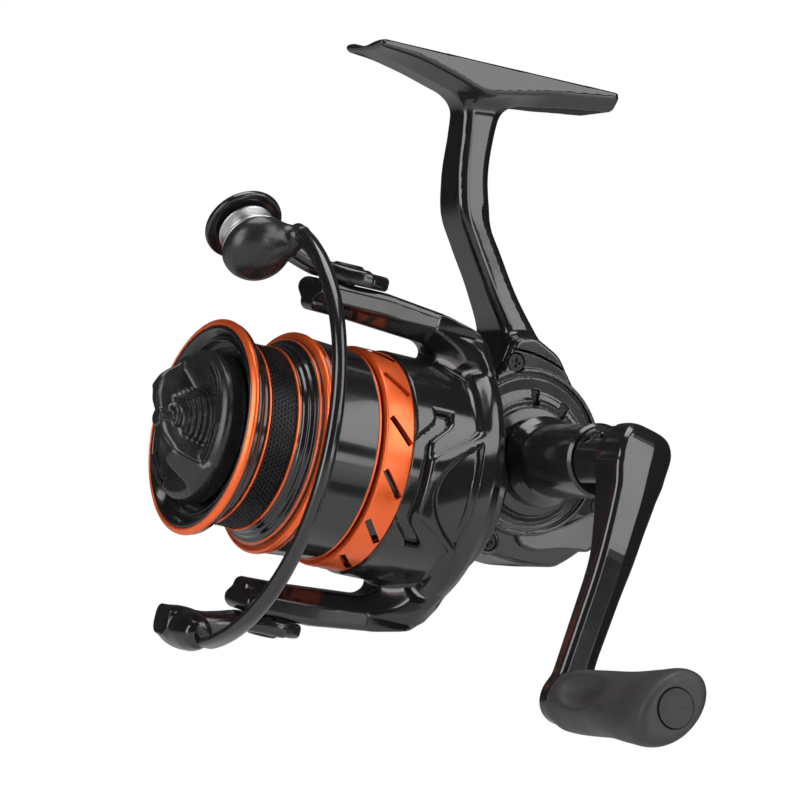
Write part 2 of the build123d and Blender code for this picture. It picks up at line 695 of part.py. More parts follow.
wire_start = wire_point(wire_start_angle)
wire_end = wire_point(wire_end_angle)
dome_out = roller_out + 0.35
neck_line = (wire_start - dome_centre).normalized()
with BuildPart() as wire_cone:
    revolve(outline(roller_profile,
                    (dome_out, 0), (dome_out, dome_radius - 0.2), (dome_out + 0.5, dome_radius),
                    (dome_out + 2.0, dome_radius), (dome_out + 4.0, dome_radius - 0.9),
                    (dome_out + 5.6, dome_radius - 2.9), (dome_out + 6.3, dome_radius - 5.0),
                    (dome_out + 6.3, 0)), axis=roller_axis)
    loft([disc(Plane(origin=dome_centre, z_dir=neck_line), 3.4),
          disc(Plane(origin=wire_start, z_dir=neck_line), 1.7)])
    with Locations(wire_start):
        Sphere(1.7)
    revolve(outline(roller_profile, (dome_out - 1, 0), (dome_out - 1, pin_radius),
                    (roller_out + 1.6, pin_radius), (roller_out + 1.6, 0)),
            axis=roller_axis, mode=Mode.SUBTRACT)
    # the wire seats in the end of the cone
    with BuildLine() as seat_line:
        ThreePointArc(wire_point(wire_start_angle), wire_point(75), wire_point(70))
    with BuildSketch(seat_line.line ^ 0) as seat_round:
        Circle(wire_radius)
    sweep(seat_round.sketch, path=seat_line.line, mode=Mode.SUBTRACT)
save(wire_cone, "wire_cone")

with BuildPart() as bail_wire:
    with BuildLine() as arc:
        ThreePointArc(wire_start, wire_point(0), wire_end)
    with BuildSketch(arc.line ^ 0) as round_wire:
        Circle(wire_radius)
    sweep(round_wire.sketch, path=arc.line)
save(bail_wire, "bail_wire")

nut_centre = bail_point(wire_station - 1.4, 0, -plate_in - 5.4)
with BuildPart() as bail_lever:
    # the lower lever, with the nut that clamps the wire's other end
    extrude(disc(Plane(origin=bail_point(bail_pivot, 0, -plate_in), x_dir=(1, 0, 0),
                       z_dir=rotor_up * -1), 6.8), amount=plate_out - plate_in)
    extrude(outline(arm_plane.offset(-2.6),
                    (bail_pivot, -plate_in), (17.0, -plate_in), (9.0, -plate_in - 0.6),
                    (2.4, -plate_in - 1.8), (1.6, -plate_in - 5.4), (5.0, -plate_in - 8.2),
                    (9.5, -plate_in - 7.4), (14.5, -plate_in - 4.4),
                    (18.5, -plate_out), (bail_pivot, -plate_out)), amount=6.0)
    # the nut, a round barrel in line with the wire's end
    revolve(outline(Plane(origin=nut_centre, x_dir=rotor_near, z_dir=front * -1),
                    (-2.8, 0), (-2.8, 2.6), (-1.4, 3.9), (2.0, 4.2), (7.0, 3.9), (9.8, 2.9),
                    (10.4, 2.0), (10.4, 0)), axis=Axis(nut_centre, rotor_near))
    revolve(pin_section(-1, bail_pivot, (0, plate_in - 1),
                        (pivot_post + running_gap, plate_in - 1),
                        (pivot_post + running_gap, plate_out - 0.7),
                        (pivot_head + 0.3, plate_out - 0.7), (pivot_head + 0.3, plate_out + 3),
                        (0, plate_out + 3)), axis=along_arm(-1, bail_pivot),
            mode=Mode.SUBTRACT)
    with BuildLine() as clamp_line:
        ThreePointArc(wire_end, wire_point(-71), wire_point(-67))
    with BuildSketch(clamp_line.line ^ 0) as clamp_round:
        Circle(wire_radius)
    sweep(clamp_round.sketch, path=clamp_line.line, mode=Mode.SUBTRACT)
save(bail_lever, "bail_lever")

# ================================================================ body group
case_front = 56.4
cavity_front = 58.5
case_line = ((case_front, -13.6), (71.0, -14.0), (78.5, -13.0), (83.5, -8.5), (87.6, -5.0),
             (88.2, 2.0), (85.6, 8.0), (78.4, 18.0), (70.4, 28.0), (64.6, 30.6), (60.2, 29.5),
             (58.8, 24.0), (case_front, 20.0))
cavity_line = ((cavity_front, -11.9), (70.8, -12.2), (77.8, -11.3), (82.3, -7.2), (85.9, -4.2),
               (86.4, 1.8), (83.9, 7.2), (76.6, 17.0), (73.8, 20.4), (62.0, 21.5),
               (59.7, 19.6), (cavity_front, 18.4))
nose_inner = nose_radius - case_wall
clutch_front = nose_front - 6.9
gear_back = 5.8
far_boss = 12.0
bearing_outer = 5.5
bearing_width = 2.5
far_bearing = 8.7
near_bearing = -13.2
pinion_bearing_front = 46.0
pinion_bearing_rear = 49.0
boss_out = 14.0

# screws that hold the side cover: station and height
cover_screw_places = ((60.9, 24.6), (84.8, 0.5), (61.2, -10.8))
cover_screw_radius = 0.55
cover_post = 1.6

# sections of the stem from the top down: height, front station, rear station, half width
stem_half = stem_thick / 2
stem_rear = stem_front + stem_width
stem_sections = ((spool_drop - 3.9, stem_front - 1.3, stem_rear + 1.3, stem_half + 0.3),
                 (68.0, stem_front - 0.6, stem_rear - 0.2, stem_half),
                 (58.0, stem_front, stem_rear, stem_half),
                 (51.0, stem_front + 1.7, stem_rear + 2.2, stem_half + 0.2),
                 (46.0, stem_front + 4.8, stem_rear + 5.6, stem_half + 0.5),
                 (38.0, stem_front + 10.2, stem_rear + 11.1, stem_half + 1.9),
                 (30.0, stem_front + 15.0, stem_rear + 17.2, stem_half + 3.3),
                 (24.0, stem_front + 16.0, stem_rear + 21.2, case_near))


def stem_section(height, s0, s1, half):
    """An eight-sided section across the stem."""
    corner = half * 0.55
    plane = Plane(origin=(lip_x, 0, axis_z + height), x_dir=(1, 0, 0), z_dir=(0, 0, 1))
    return outline(plane, (s0, half - corner), (s0 + corner, half), (s1 - corner, half),
                   (s1, half - corner), (s1, corner - half), (s1 - corner, -half),
                   (s0 + corner, -half), (s0, corner - half))


# sections of the foot from front to rear: station, half width, edge thickness, keel drop,
# half width of the keel
foot_start = lip_lead - foot_length / 2
foot_end = foot_start + foot_length
foot_half = foot_width / 2
foot_keel = foot_root + 0.4
foot_sections = ((foot_start, foot_half - 1.2, foot_edge - 0.2, foot_edge + 0.1, 3.8),
                 (foot_start + 1.4, foot_half - 0.2, foot_edge, foot_edge + 0.6, 5.2),
                 (foot_start + 4.0, foot_half, foot_edge + 0.2, foot_edge + 1.2, 5.2),
                 (stem_front - 13.0, foot_half, foot_edge + 0.8, foot_edge + 2.4, 4.2),
                 (stem_front - 5.0, foot_half, foot_root - 1.8, foot_keel - 0.6, stem_half),
                 (stem_front - 0.4, foot_half, foot_root, foot_keel, stem_half),
                 (stem_rear + 0.8, foot_half, foot_root, foot_keel, stem_half),
                 (foot_end - 14.6, foot_half, foot_root - 1.0, foot_keel - 0.6, stem_half),
                 (foot_end - 6.6, foot_half, foot_root - 1.8, foot_keel - 1.7, 4.4),
                 (foot_end - 2.2, foot_half - 0.2, foot_root - 2.3, foot_keel - 2.3, 4.6),
                 (foot_end, foot_half - 1.2, foot_root - 3.0, foot_keel - 3.0, 3.8))


def seat_height(s):
    """Height of the tilted foot seat above the spool's axis at a station."""
    return spool_drop + (s - lip_lead) * tan(radians(foot_tilt))


def foot_section(s, half, edge, keel, keel_half):
    """A six-sided section across the foot."""
    top = seat_height(s)
    return outline(station(s), (-half, top), (half, top), (half, top - edge),
                   (keel_half, top - keel), (-keel_half, top - keel), (-half, top - edge))


# the cover screws' places on a plane across the handle's axis
screw_spots = [(s - handle_station, z - handle_rise) for s, z in cover_screw_places]


seat_tilt = radians(foot_tilt)
seat_plane = Plane(origin=(0, 0, 0), x_dir=(0, 1, 0),
                   z_dir=(cos(seat_tilt), 0, sin(seat_tilt)))
saddle_radius = ((saddle_width / 2) ** 2 + saddle_depth ** 2) / (2 * saddle_depth)

with BuildPart() as body_frame:
    extrude(outline(side_plane.offset(-case_far), *case_line), amount=case_far + case_near)
    # the round nose inside the rotor
    revolve(ring(nose_front, case_front, 0, nose_radius), axis=spool_axis)
    loft([stem_section(*section) for section in reversed(stem_sections)], ruled=True)
    loft([foot_section(*section) for section in foot_sections], ruled=True)
    # the far drive bearing's boss
    extrude(disc(across(far_boss), 8.0), amount=far_boss - 5)
    # inside of the case and of the nose
    extrude(outline(side_plane.offset(case_wall - case_far), *cavity_line), amount=20,
            mode=Mode.SUBTRACT)
    revolve(ring(nose_front + 2.0, case_front - 1.6, 0, nose_inner), axis=spool_axis,
            mode=Mode.SUBTRACT)
    with BuildSketch(station(case_front - 2.0)):
        with Locations((0.3, 3.0)):
            Rectangle(13.4, 29.8)
        Circle(18.0, mode=Mode.INTERSECT)
    extrude(amount=cavity_front - case_front + 2.2, mode=Mode.SUBTRACT)
    # the clutch housing in front of the nose
    revolve(ring(clutch_front, nose_front, clutch_radius, clutch_radius + 1.2),
            axis=spool_axis)
    revolve(ring(pinion_bearing_front, nose_front, bearing_outer, clutch_radius),
            axis=spool_axis)
    revolve(ring(nose_front - 2, pinion_bearing_rear, 0, bearing_outer), axis=spool_axis,
            mode=Mode.SUBTRACT)
    revolve(ring(pinion_bearing_rear - 0.1, nose_front + 2.1, 0, 4.0), axis=spool_axis,
            mode=Mode.SUBTRACT)
    # the far bearing's seat and the way through for the drive tube
    extrude(disc(across(far_bearing), bearing_outer), amount=-bearing_width,
            mode=Mode.SUBTRACT)
    extrude(disc(across(7), 4.2), amount=-6, mode=Mode.SUBTRACT)
    # the lug and the seat that hold the guide rod
    with BuildSketch(station(case_front)):
        with Locations((0, rod_rise - 1.9)):
            Rectangle(3.6, 7.2)
    extrude(amount=cavity_front - case_front + 1.4)
    # room for the crank's collar beside the nose
    extrude(disc(across(-boss_out), collar_radius + 0.5), amount=8, mode=Mode.SUBTRACT)
    extrude(disc(station(59.0), rod_radius, (0, rod_rise)), amount=23.9, mode=Mode.SUBTRACT)
    # posts and threaded holes for the cover's screws
    with BuildSketch(across(-case_near)):
        with Locations(*screw_spots):
            Circle(cover_post)
    extrude(amount=-case_near - 8.0)
    with BuildSketch(across(-case_near)):
        with Locations(*screw_spots):
            Circle(cover_screw_radius)
    extrude(amount=-6.0, mode=Mode.SUBTRACT)
    # the channel along the foot
    extrude(disc(seat_plane, saddle_radius, (0, saddle_radius - saddle_depth)), amount=60,
            both=True, mode=Mode.SUBTRACT)
save(body_frame, "body_frame")

with BuildPart() as guide_rod:
    extrude(disc(station(59.0), rod_radius, (0, rod_rise)), amount=23.9)
save(guide_rod, "guide_rod")

with BuildPart() as pinion_bearing:
    revolve(ring(pinion_bearing_front, pinion_bearing_rear, pinion_sleeve + running_gap,
                 bearing_outer), axis=spool_axis)
save(pinion_bearing, "pinion_bearing")

# the one-way clutch: an outer race, eight rollers and a retainer in front
race_front = clutch_front + 0.4
roller_count = 8
roller_round = 1.0
roller_ring = 4.9 + running_gap + roller_round
with BuildPart() as clutch_race:
    revolve(ring(race_front, race_front + 4.5, roller_ring + roller_round, clutch_radius),
            axis=spool_axis)
save(clutch_race, "clutch_race")

with BuildPart() as clutch_rollers:
    with BuildSketch(station(race_front + 0.3)):
        with PolarLocations(roller_ring, roller_count):
            Circle(roller_round)
    extrude(amount=3.9)
save(clutch_rollers, "clutch_rollers")

with BuildPart() as nose_retainer:
    revolve(ring(clutch_front - 0.6, clutch_front, 6.3, clutch_radius + 1.2),
            axis=spool_axis)
    revolve(ring(clutch_front, race_front, roller_ring + roller_round, clutch_radius),
            axis=spool_axis)
save(nose_retainer, "nose_retainer")

# the side cover closes the open side and carries the near drive bearing
cover_out = case_near + cover_thick
cam_axle = 1.5
cam_x = cam_shift
cam_z = -cam_drop
cover_line_case = [(s - handle_station, z - handle_rise) for s, z in case_line]
with BuildPart() as side_cover:
    extrude(outline(across(-case_near), *cover_line_case), amount=cover_thick)
    revolve(outline(shank_plane,
                    (cover_out, 0), (cover_out, 13.8), (cover_out + 0.9, 13.4),
                    (cover_out + 0.9, 12.4), (cover_out + 1.7, 12.0),
                    (cover_out + 1.7, 10.8), (cover_out + 2.9, 10.4), (boss_out - 0.4, 8.6),
                    (boss_out, 8.2), (boss_out, 0)), axis=handle_axis)
    # the boss stops short of the rotor
    extrude(outline(side_plane, (40, -30), (40, 50), (case_front, 50), (case_front, -30)),
            amount=20, both=True, mode=Mode.SUBTRACT)
    # the near bearing's seat, open towards the inside
    revolve(outline(shank_plane,
                    (case_near, 0), (case_near, bearing_outer), (-near_bearing, bearing_outer),
                    (-near_bearing, 3.4), (boss_out, 3.4), (boss_out, 0)),
            axis=handle_axis, mode=Mode.SUBTRACT)
    # the oscillation gear's axle and its shoulder
    extrude(disc(across(-3.9), cam_axle, (cam_x, cam_z)), amount=case_near - 3.9)
    extrude(disc(across(-6.35), 2.6, (cam_x, cam_z)), amount=case_near - 6.35)
    for spot in screw_spots:
        extrude(disc(across(-case_near), cover_screw_radius, spot), amount=cover_thick,
                mode=Mode.SUBTRACT)
        extrude(disc(across(-cover_out + 0.9), 1.7, spot), amount=5, mode=Mode.SUBTRACT)
save(side_cover, "side_cover")

with BuildPart() as cover_screws:
    for spot in screw_spots:
        extrude(disc(across(-cover_out + 0.9), cover_screw_radius, spot), amount=-7.1)
        extrude(disc(across(-cover_out + 0.9), 1.7, spot), amount=0.7)
    with BuildSketch(across(-cover_out + 0.9 - 0.7)):
        with Locations(*screw_spots):
            Rectangle(2.0, 0.45)
            Rectangle(0.45, 2.0)
    extrude(amount=-0.4, mode=Mode.SUBTRACT)
save(cover_screws, "cover_screws")

with BuildPart() as near_bearing_ring:
    revolve(sleeve(near_bearing, near_bearing + bearing_width, tube_radius + running_gap,
                   bearing_outer), axis=handle_axis)
save(near_bearing_ring, "near_bearing")

with BuildPart() as far_bearing_ring:
    revolve(sleeve(far_bearing, far_bearing + bearing_width, tube_radius + running_gap,
                   bearing_outer), axis=handle_axis)
save(far_bearing_ring, "far_bearing")

# the rear guard wraps the corner of the case
guard_inner = ((72.5, -13.8),) + case_line[2:7]
guard_outer = ((86.1, 8.2), (88.9, 2.0), (88.1, -5.4), (83.8, -9.0), (78.8, -13.6),
               (72.5, -14.5))
with BuildPart() as rear_guard:
    extrude(outline(side_plane.offset(-case_far), *(guard_inner + guard_outer)),
            amount=case_far + cover_out)
save(rear_guard, "rear_guard")

# ================================================================ handle group
ridge_tip = 2.0
gear_front = 3.3
mesh_offset = handle_rise
mesh_reach = sqrt(mesh_radius ** 2 - mesh_offset ** 2)
with BuildPart() as drive_gear:
    revolve(outline(shank_plane,
                    (-2.6, tube_radius), (-2.6, 5.0), (-gear_front, 5.0),
                    (-gear_front, gear_radius), (-gear_front - 0.4, gear_radius),
                    (-gear_back, gear_radius - 2.2), (-gear_back, tube_radius)),
            axis=handle_axis)
    # straight teeth on the near face, each tangent to a circle about the axis
    with BuildSketch(across(gear_front)):
        with PolarLocations(0, gear_teeth):
            with Locations((-mesh_reach, -mesh_offset)):
                Rectangle(gear_face, gear_tooth)
    extrude(amount=gear_front - ridge_tip)
save(drive_gear, "drive_gear")



def spur_tooth(pitch_radius):
    """One tooth of the small spur gears, pointing along local x."""
    return ((pitch_radius - 0.9, -0.62), (pitch_radius, -0.42), (pitch_radius + 0.55, -0.22),
            (pitch_radius + 0.55, 0.22), (pitch_radius, 0.42), (pitch_radius - 0.9, 0.62))


spur_line = degrees(atan2(-cam_drop, cam_shift))
tube_near = -13.4
tube_far = 11.4
with BuildPart() as drive_tube:
    revolve(sleeve(tube_near, tube_far, spindle_radius, tube_radius), axis=handle_axis)
    # the small gear that turns the oscillation gear
    with BuildSketch(across(-4.0)):
        Circle(spur_pitch - 0.75)
        Circle(tube_radius - 0.3, mode=Mode.SUBTRACT)
        with PolarLocations(0, spur_teeth, start_angle=spur_line):
            Polygon(*spur_tooth(spur_pitch), align=None)
    extrude(amount=2.2)
save(drive_tube, "drive_tube")

shank_in = boss_out + 0.4
tongue_half = 2.6
with BuildPart() as handle_shank:
    # the spindle through the drive tube
    revolve(sleeve(-shank_in, tube_far + 1.1, 0, spindle_radius), axis=handle_axis)
    revolve(outline(shank_plane,
                    (shank_in, 0), (shank_in, 5.2), (shank_in + 0.2, collar_radius),
                    (shank_in + 3.1, collar_radius), (shank_in + 4.6, 7.7),
                    (shank_in + 5.4, shank_radius), (shank_end - 0.6, shank_radius),
                    (shank_end, shank_radius - 0.5), (shank_end, 0)), axis=handle_axis)
    # the tongue that the crank folds on
    with BuildSketch(crank_profile) as tongue:
        with Locations(((shank_end + pin_out) / 2 - 1, pin_rise)):
            Rectangle(pin_out - shank_end + 2, 6.6)
        with Locations((pin_out, pin_rise)):
            Circle(3.3)
            Circle(fold_pin_radius + running_gap, mode=Mode.SUBTRACT)
    extrude(amount=tongue_half, both=True)
save(handle_shank, "handle_shank")

with BuildPart() as handle_lock_cap:
    cap_in = far_boss + 0.5
    revolve(outline(shank_plane,
                    (-cap_in, spindle_radius), (-cap_in, 5.9), (-cap_in - 0.5, 6.5),
                    (-cap_in - 3.4, 6.5), (-cap_in - 4.5, 5.0), (-cap_in - 4.5, 0),
                    (-tube_far - 1.1, 0), (-tube_far - 1.1, spindle_radius)),
            axis=handle_axis)
save(handle_lock_cap, "handle_lock_cap")

# ================================================================ oscillation gear
with BuildPart() as oscillation_gear:
    with BuildSketch(across(-4.0)):
        with Locations((cam_x, cam_z)):
            Circle(cam_pitch - 0.75)
        with Locations((cam_x, cam_z)):
            with PolarLocations(0, cam_teeth, start_angle=spur_line + 180 + 180 / cam_teeth):
                Polygon(*spur_tooth(cam_pitch), align=None)
        with Locations((cam_x, cam_z)):
            Circle(cam_axle + running_gap, mode=Mode.SUBTRACT)
    extrude(amount=2.2)
    # the crank pin
    extrude(disc(across(-2.6), crank_pin, (cam_x + cam_reach, cam_z)), amount=1.6)
save(oscillation_gear, "oscillation_gear")

# ================================================================ crank arm group
cheek_radius = 6.6
slot_half_width = tongue_half + 0.2
arm_boss = 4.6
boss_face = arm_face - arm_thick


def crank_point(out, up):
    """A point on the hanging crank's centre plane."""
    return Vector(handle_x, -out, handle_z) + crank_up * up


pin_plane = Plane(origin=crank_point(pin_out, pin_rise), x_dir=(0, -1, 0),
                  z_dir=crank_side * -1)


def knob_plane(out):
    """The plane across the knob's spindle at a distance out: local x points rearward."""
    return Plane(origin=crank_point(out, -crank_radius), x_dir=crank_side, z_dir=(0, -1, 0))


bar_top = -0.33 * crank_radius
bar_end = arm_boss - crank_radius
with BuildPart() as handle_arm:
    # the arm seen from outside: an oval hub, a narrow bar and a round boss
    with BuildSketch(crank_plane.offset(shank_end)):
        Ellipse(6.5, 8.2)
        with BuildLine():
            Polyline((-5.9, -3.0), (-3.7, bar_top), (-3.4, bar_end), (-3.6, -crank_radius),
                     (3.6, -crank_radius), (3.4, bar_end), (3.7, bar_top), (5.9, -3.0),
                     close=True)
        make_face()
        with Locations((0, -crank_radius)):
            Circle(arm_boss)
    extrude(amount=25)
    # its bend outward, seen from the side
    extrude(outline(crank_profile,
                    (hub_in, 6.4), (50.3, 6.5), (50.6, 9.0), (52.2, 7.2), (54.1, 3.5),
                    (arm_face - 1.2, -8.0), (arm_face, -0.41 * crank_radius),
                    (arm_face, -crank_radius - 6), (boss_face, -crank_radius - 6),
                    (boss_face, 5.6 - crank_radius), (boss_face - 0.4, -0.43 * crank_radius),
                    (50.0, -0.27 * crank_radius), (hub_in, -5.0)),
            amount=12, both=True, mode=Mode.INTERSECT)
    # the neck round the shank's tongue
    with BuildSketch(crank_plane.offset(shank_end + 0.4)):
        Circle(cheek_radius)
    extrude(amount=hub_in - shank_end + 0.4)
    with BuildSketch(crank_profile):
        with Locations(((shank_end + hub_in + 0.5) / 2, 0)):
            Rectangle(hub_in + 0.5 - shank_end, 30)
    extrude(amount=slot_half_width, both=True, mode=Mode.SUBTRACT)
    # the corner that turns past the shank's end
    with BuildSketch(pin_plane):
        with Locations((-5, 5)):
            Rectangle(10, 10)
        Circle(5.1, mode=Mode.SUBTRACT)
    extrude(amount=10, both=True, mode=Mode.SUBTRACT)
    extrude(disc(pin_plane, fold_pin_radius), amount=10, both=True, mode=Mode.SUBTRACT)
    extrude(disc(knob_plane(shank_end), knob_pin_radius), amount=30, mode=Mode.SUBTRACT)
save(handle_arm, "handle_arm")

with BuildPart() as fold_pin:
    extrude(disc(pin_plane, fold_pin_radius), amount=6.2, both=True)
save(fold_pin, "fold_pin")

spindle_end = 89.5
with BuildPart() as knob_spindle:
    extrude(disc(knob_plane(boss_face - 1.1), 3.0), amount=1.1)
    extrude(disc(knob_plane(boss_face - 0.5), knob_pin_radius),
            amount=spindle_end - boss_face + 0.5)
save(knob_spindle, "knob_spindle")

with BuildPart() as spindle_screw:
    extrude(disc(knob_plane(spindle_end), 2.6), amount=1.2)
save(spindle_screw, "spindle_screw")

# ================================================================ knob group
knob_in = arm_face + knob_gap
knob_out = knob_in + knob_length
bush_wall = 1.2
bush_length = 4.0
with BuildPart() as knob_grip:
    # sections from the arm outward: distance, half sizes and twist
    grip = []
    for out, wide, high, twist in ((knob_in, 5.6, 5.6, 0), (knob_in + 4, 5.7, 5.2, 10),
                                   (knob_in + 12, 5.9, 4.6, 25), (knob_in + 20, 7.4, 4.6, 40),
                                   (knob_in + 28, 8.6, 5.2, 55), (knob_out - 2, 8.6, 5.6, 62),
                                   (knob_out, 7.4, 4.8, 62)):
        with BuildSketch(knob_plane(out), mode=Mode.PRIVATE) as section:
            Ellipse(wide, high, rotation=twist)
        grip.append(section.sketch)
    loft(grip)
    extrude(disc(knob_plane(knob_in), knob_pin_radius + bush_wall),
            amount=knob_length - 3.0, mode=Mode.SUBTRACT)
    extrude(disc(knob_plane(knob_out - 3.5), 3.6), amount=6, mode=Mode.SUBTRACT)
save(knob_grip, "knob_grip")

with BuildPart() as knob_bushes:
    for out in (knob_in, spindle_end - 0.3 - bush_length):
        with BuildSketch(knob_plane(out)):
            Circle(knob_pin_radius + bush_wall)
            Circle(knob_pin_radius + running_gap, mode=Mode.SUBTRACT)
        extrude(amount=bush_length)
save(knob_bushes, "knob_bushes")

with BuildPart() as knob_cap:
    extrude(disc(knob_plane(knob_out - 2.8), 3.6), amount=3.0)
save(knob_cap, "knob_cap")
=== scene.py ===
# %% [markdown]
# # A small spinning reel with a front drag
#
# A spinning reel lays line on a spool that does not turn. The crank on its side turns a rotor,
# and the wire bail on the rotor's two arms wraps the line round the spool. This lesson dresses
# the plain CAD solids of such a reel in gloss black plastic, orange anodised aluminium, a
# knurled band, bright steel and a matt rubber knob.
#
# The frame gives every piece its place. Each new piece says which moving body it rides on and
# which CAD node it stands for, so the finished reel still cranks, folds and opens its bail.

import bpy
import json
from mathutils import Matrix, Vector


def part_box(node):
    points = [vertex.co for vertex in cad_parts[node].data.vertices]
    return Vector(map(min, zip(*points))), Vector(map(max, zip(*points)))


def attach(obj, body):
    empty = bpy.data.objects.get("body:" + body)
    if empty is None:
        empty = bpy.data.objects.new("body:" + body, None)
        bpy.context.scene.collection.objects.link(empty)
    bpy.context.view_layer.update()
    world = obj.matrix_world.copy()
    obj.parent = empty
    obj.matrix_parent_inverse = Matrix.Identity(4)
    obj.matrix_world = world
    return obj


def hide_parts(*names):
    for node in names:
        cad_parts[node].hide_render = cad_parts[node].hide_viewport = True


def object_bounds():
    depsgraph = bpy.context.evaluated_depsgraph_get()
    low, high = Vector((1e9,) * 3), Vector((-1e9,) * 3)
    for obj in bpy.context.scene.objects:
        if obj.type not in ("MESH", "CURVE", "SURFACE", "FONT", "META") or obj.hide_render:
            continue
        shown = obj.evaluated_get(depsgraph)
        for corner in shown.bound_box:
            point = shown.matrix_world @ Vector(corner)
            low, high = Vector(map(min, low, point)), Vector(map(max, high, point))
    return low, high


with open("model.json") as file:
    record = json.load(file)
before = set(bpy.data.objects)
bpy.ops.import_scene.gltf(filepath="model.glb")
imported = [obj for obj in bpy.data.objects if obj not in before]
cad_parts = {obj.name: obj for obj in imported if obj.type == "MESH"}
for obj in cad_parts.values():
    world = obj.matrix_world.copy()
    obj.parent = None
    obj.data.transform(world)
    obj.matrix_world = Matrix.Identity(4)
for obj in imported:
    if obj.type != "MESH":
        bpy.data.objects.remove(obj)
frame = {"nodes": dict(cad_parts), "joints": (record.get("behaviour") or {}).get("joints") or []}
cad_low, cad_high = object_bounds()

# %% The libraries
import json
import math

import bpy
import numpy as np
import openvdb
from mathutils import Matrix, Vector

# %% [markdown]
# ## Benches
#
# A piece is easiest to draw where it is simple: the spool about its own axis, the crank on its
# own centre plane. A bench is a corner and three directions. A piece is drawn on its bench in
# millimetres, and the bench puts it in the reel. All benches are read from the frame's joints
# and boxes, so they follow the CAD model.

# %% The benches
joints = {joint["name"]: joint for joint in frame["joints"]}
lip_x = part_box("lip_ring")[0].x * 1000
spool_z = joints["rotor_spin"]["pos_m"][2] * 1000
handle_x = joints["handle_turn"]["pos_m"][0] * 1000
handle_z = joints["handle_turn"]["pos_m"][2] * 1000


class Bench:
    """A corner and three directions, in millimetres."""

    def __init__(self, corner, first, second, third):
        self.corner = np.array(corner, dtype=float)
        self.axes = np.array([first, second, third], dtype=float)

    def place(self, points):
        """Points drawn on the bench, put in the reel, in metres."""
        return (self.corner + np.asarray(points, dtype=float) @ self.axes) / 1000


near = Vector((0, -1, 0))
rear = Vector((1, 0, 0))
up = Vector((0, 0, 1))
arm_up = -Vector(joints["bail_swing"]["axis"])
arm_near = Vector((0, -arm_up.z, arm_up.y))
crank_rear = -Vector(joints["handle_fold"]["axis"])
crank_up = Vector((-crank_rear.z, 0, crank_rear.x))
knob_place = Vector(joints["knob_spin"]["pos_m"]) * 1000
crank_length = math.hypot(knob_place.x - handle_x, knob_place.z - handle_z)

# station behind the spool's lip, distance towards the handle, height over the spool's axis
reel_bench = Bench((lip_x, 0, spool_z), rear, near, up)
rotor_bench = Bench((lip_x, 0, spool_z), rear, arm_near, arm_up)
# distance rearward on the crank, distance out from the spool's axis, height up the crank
crank_bench = Bench((handle_x, 0, handle_z), crank_rear, near, crank_up)
# distance out along the knob's axis, then rearward and up the crank
knob_bench = Bench((knob_place.x, 0, knob_place.z), near, crank_rear, crank_up)
print("crank length:", round(crank_length, 2), "mm")

# %% [markdown]
# ## Three ways to make a solid
#
# **Turning.** Spools, rings, screws and shafts are turned parts. A profile of distances along
# the axis and radii is spun into a closed skin. Its corners are rounded first, because a real
# edge always catches a thin line of light.
#
# **Skinning.** A tapering rod or a grip is a row of rings joined by strips of faces.
#
# **Clay.** Moulded plastic flows from one form into the next. A block of small cells holds, for
# each cell, the distance to the surface: negative inside, positive outside. Two forms join
# softly when their distances are blended, and openvdb turns the block into a mesh.
#
# Moulded parts could also be built from boxes with bevels and booleans, but then every soft
# blend needs its own hand-made mesh. In clay a blend is one number.

# %% Turned solids
def rounded(corners, radius, steps=3, closed=True):
    """The corners with each one rounded, so that edges catch the light."""
    finished = []
    count = len(corners)
    for i, corner in enumerate(corners):
        corner = np.array(corner, dtype=float)
        if not closed and i in (0, count - 1):
            finished.append(tuple(corner))
            continue
        before = np.array(corners[i - 1], dtype=float) - corner
        after = np.array(corners[(i + 1) % count], dtype=float) - corner
        long_before, long_after = np.linalg.norm(before), np.linalg.norm(after)
        size = min(radius, 0.45 * long_before, 0.45 * long_after)
        start = corner + before / long_before * size
        end = corner + after / long_after * size
        for t in np.linspace(0, 1, steps + 1):
            point = (1 - t) ** 2 * start + 2 * t * (1 - t) * corner + t * t * end
            finished.append(tuple(point))
    return finished


def turned(profile, sides=96, radius=0.25, steps=3):
    """A profile of (along, radius) pairs spun about the bench's first axis. A profile whose
    ends lie on the axis makes a solid, any other one a ring."""
    solid = profile[0][1] == 0 and profile[-1][1] == 0
    line = rounded(profile, radius, steps, closed=not solid)
    angles = np.linspace(0, 2 * math.pi, sides, endpoint=False)
    cosine, sine = np.cos(angles), np.sin(angles)
    points, rows = [], []
    for along, reach in line:
        if solid and reach <= 1e-6:
            rows.append([len(points)])
            points.append((along, 0, 0))
        else:
            rows.append(range(len(points), len(points) + sides))
            points.extend(zip([along] * sides, reach * cosine, reach * sine))
    faces = []
    pairs = list(zip(rows, rows[1:]))
    if not solid:
        pairs.append((rows[-1], rows[0]))
    for row, after in pairs:
        for i in range(sides):
            j = (i + 1) % sides
            if len(row) == 1 and len(after) > 1:
                faces.append((row[0], after[j], after[i]))
            elif len(after) == 1 and len(row) > 1:
                faces.append((row[i], row[j], after[0]))
            elif len(row) > 1:
                faces.append((row[i], row[j], after[j], after[i]))
    return np.array(points), faces


def skinned(rings):
    """Rings of equally many points joined into a closed skin."""
    rings = np.array(rings, dtype=float)
    count, sides = rings.shape[:2]
    faces = []
    for k in range(count - 1):
        for i in range(sides):
            j = (i + 1) % sides
            faces.append((k * sides + i, k * sides + j, (k + 1) * sides + j, (k + 1) * sides + i))
    faces.append(tuple(reversed(range(sides))))
    faces.append(tuple(range((count - 1) * sides, count * sides)))
    return rings.reshape(-1, 3), faces


# %% [markdown]
# ### Clay
#
# A form is a function of three arrays, one for each direction of the bench, that gives the
# distance to the surface in millimetres. The skin that comes out of the cells is a little
# uneven, so each of its points is moved along the form's own slope until it lies on the
# surface. The same slope says which way the surface faces, which keeps reflections clean.

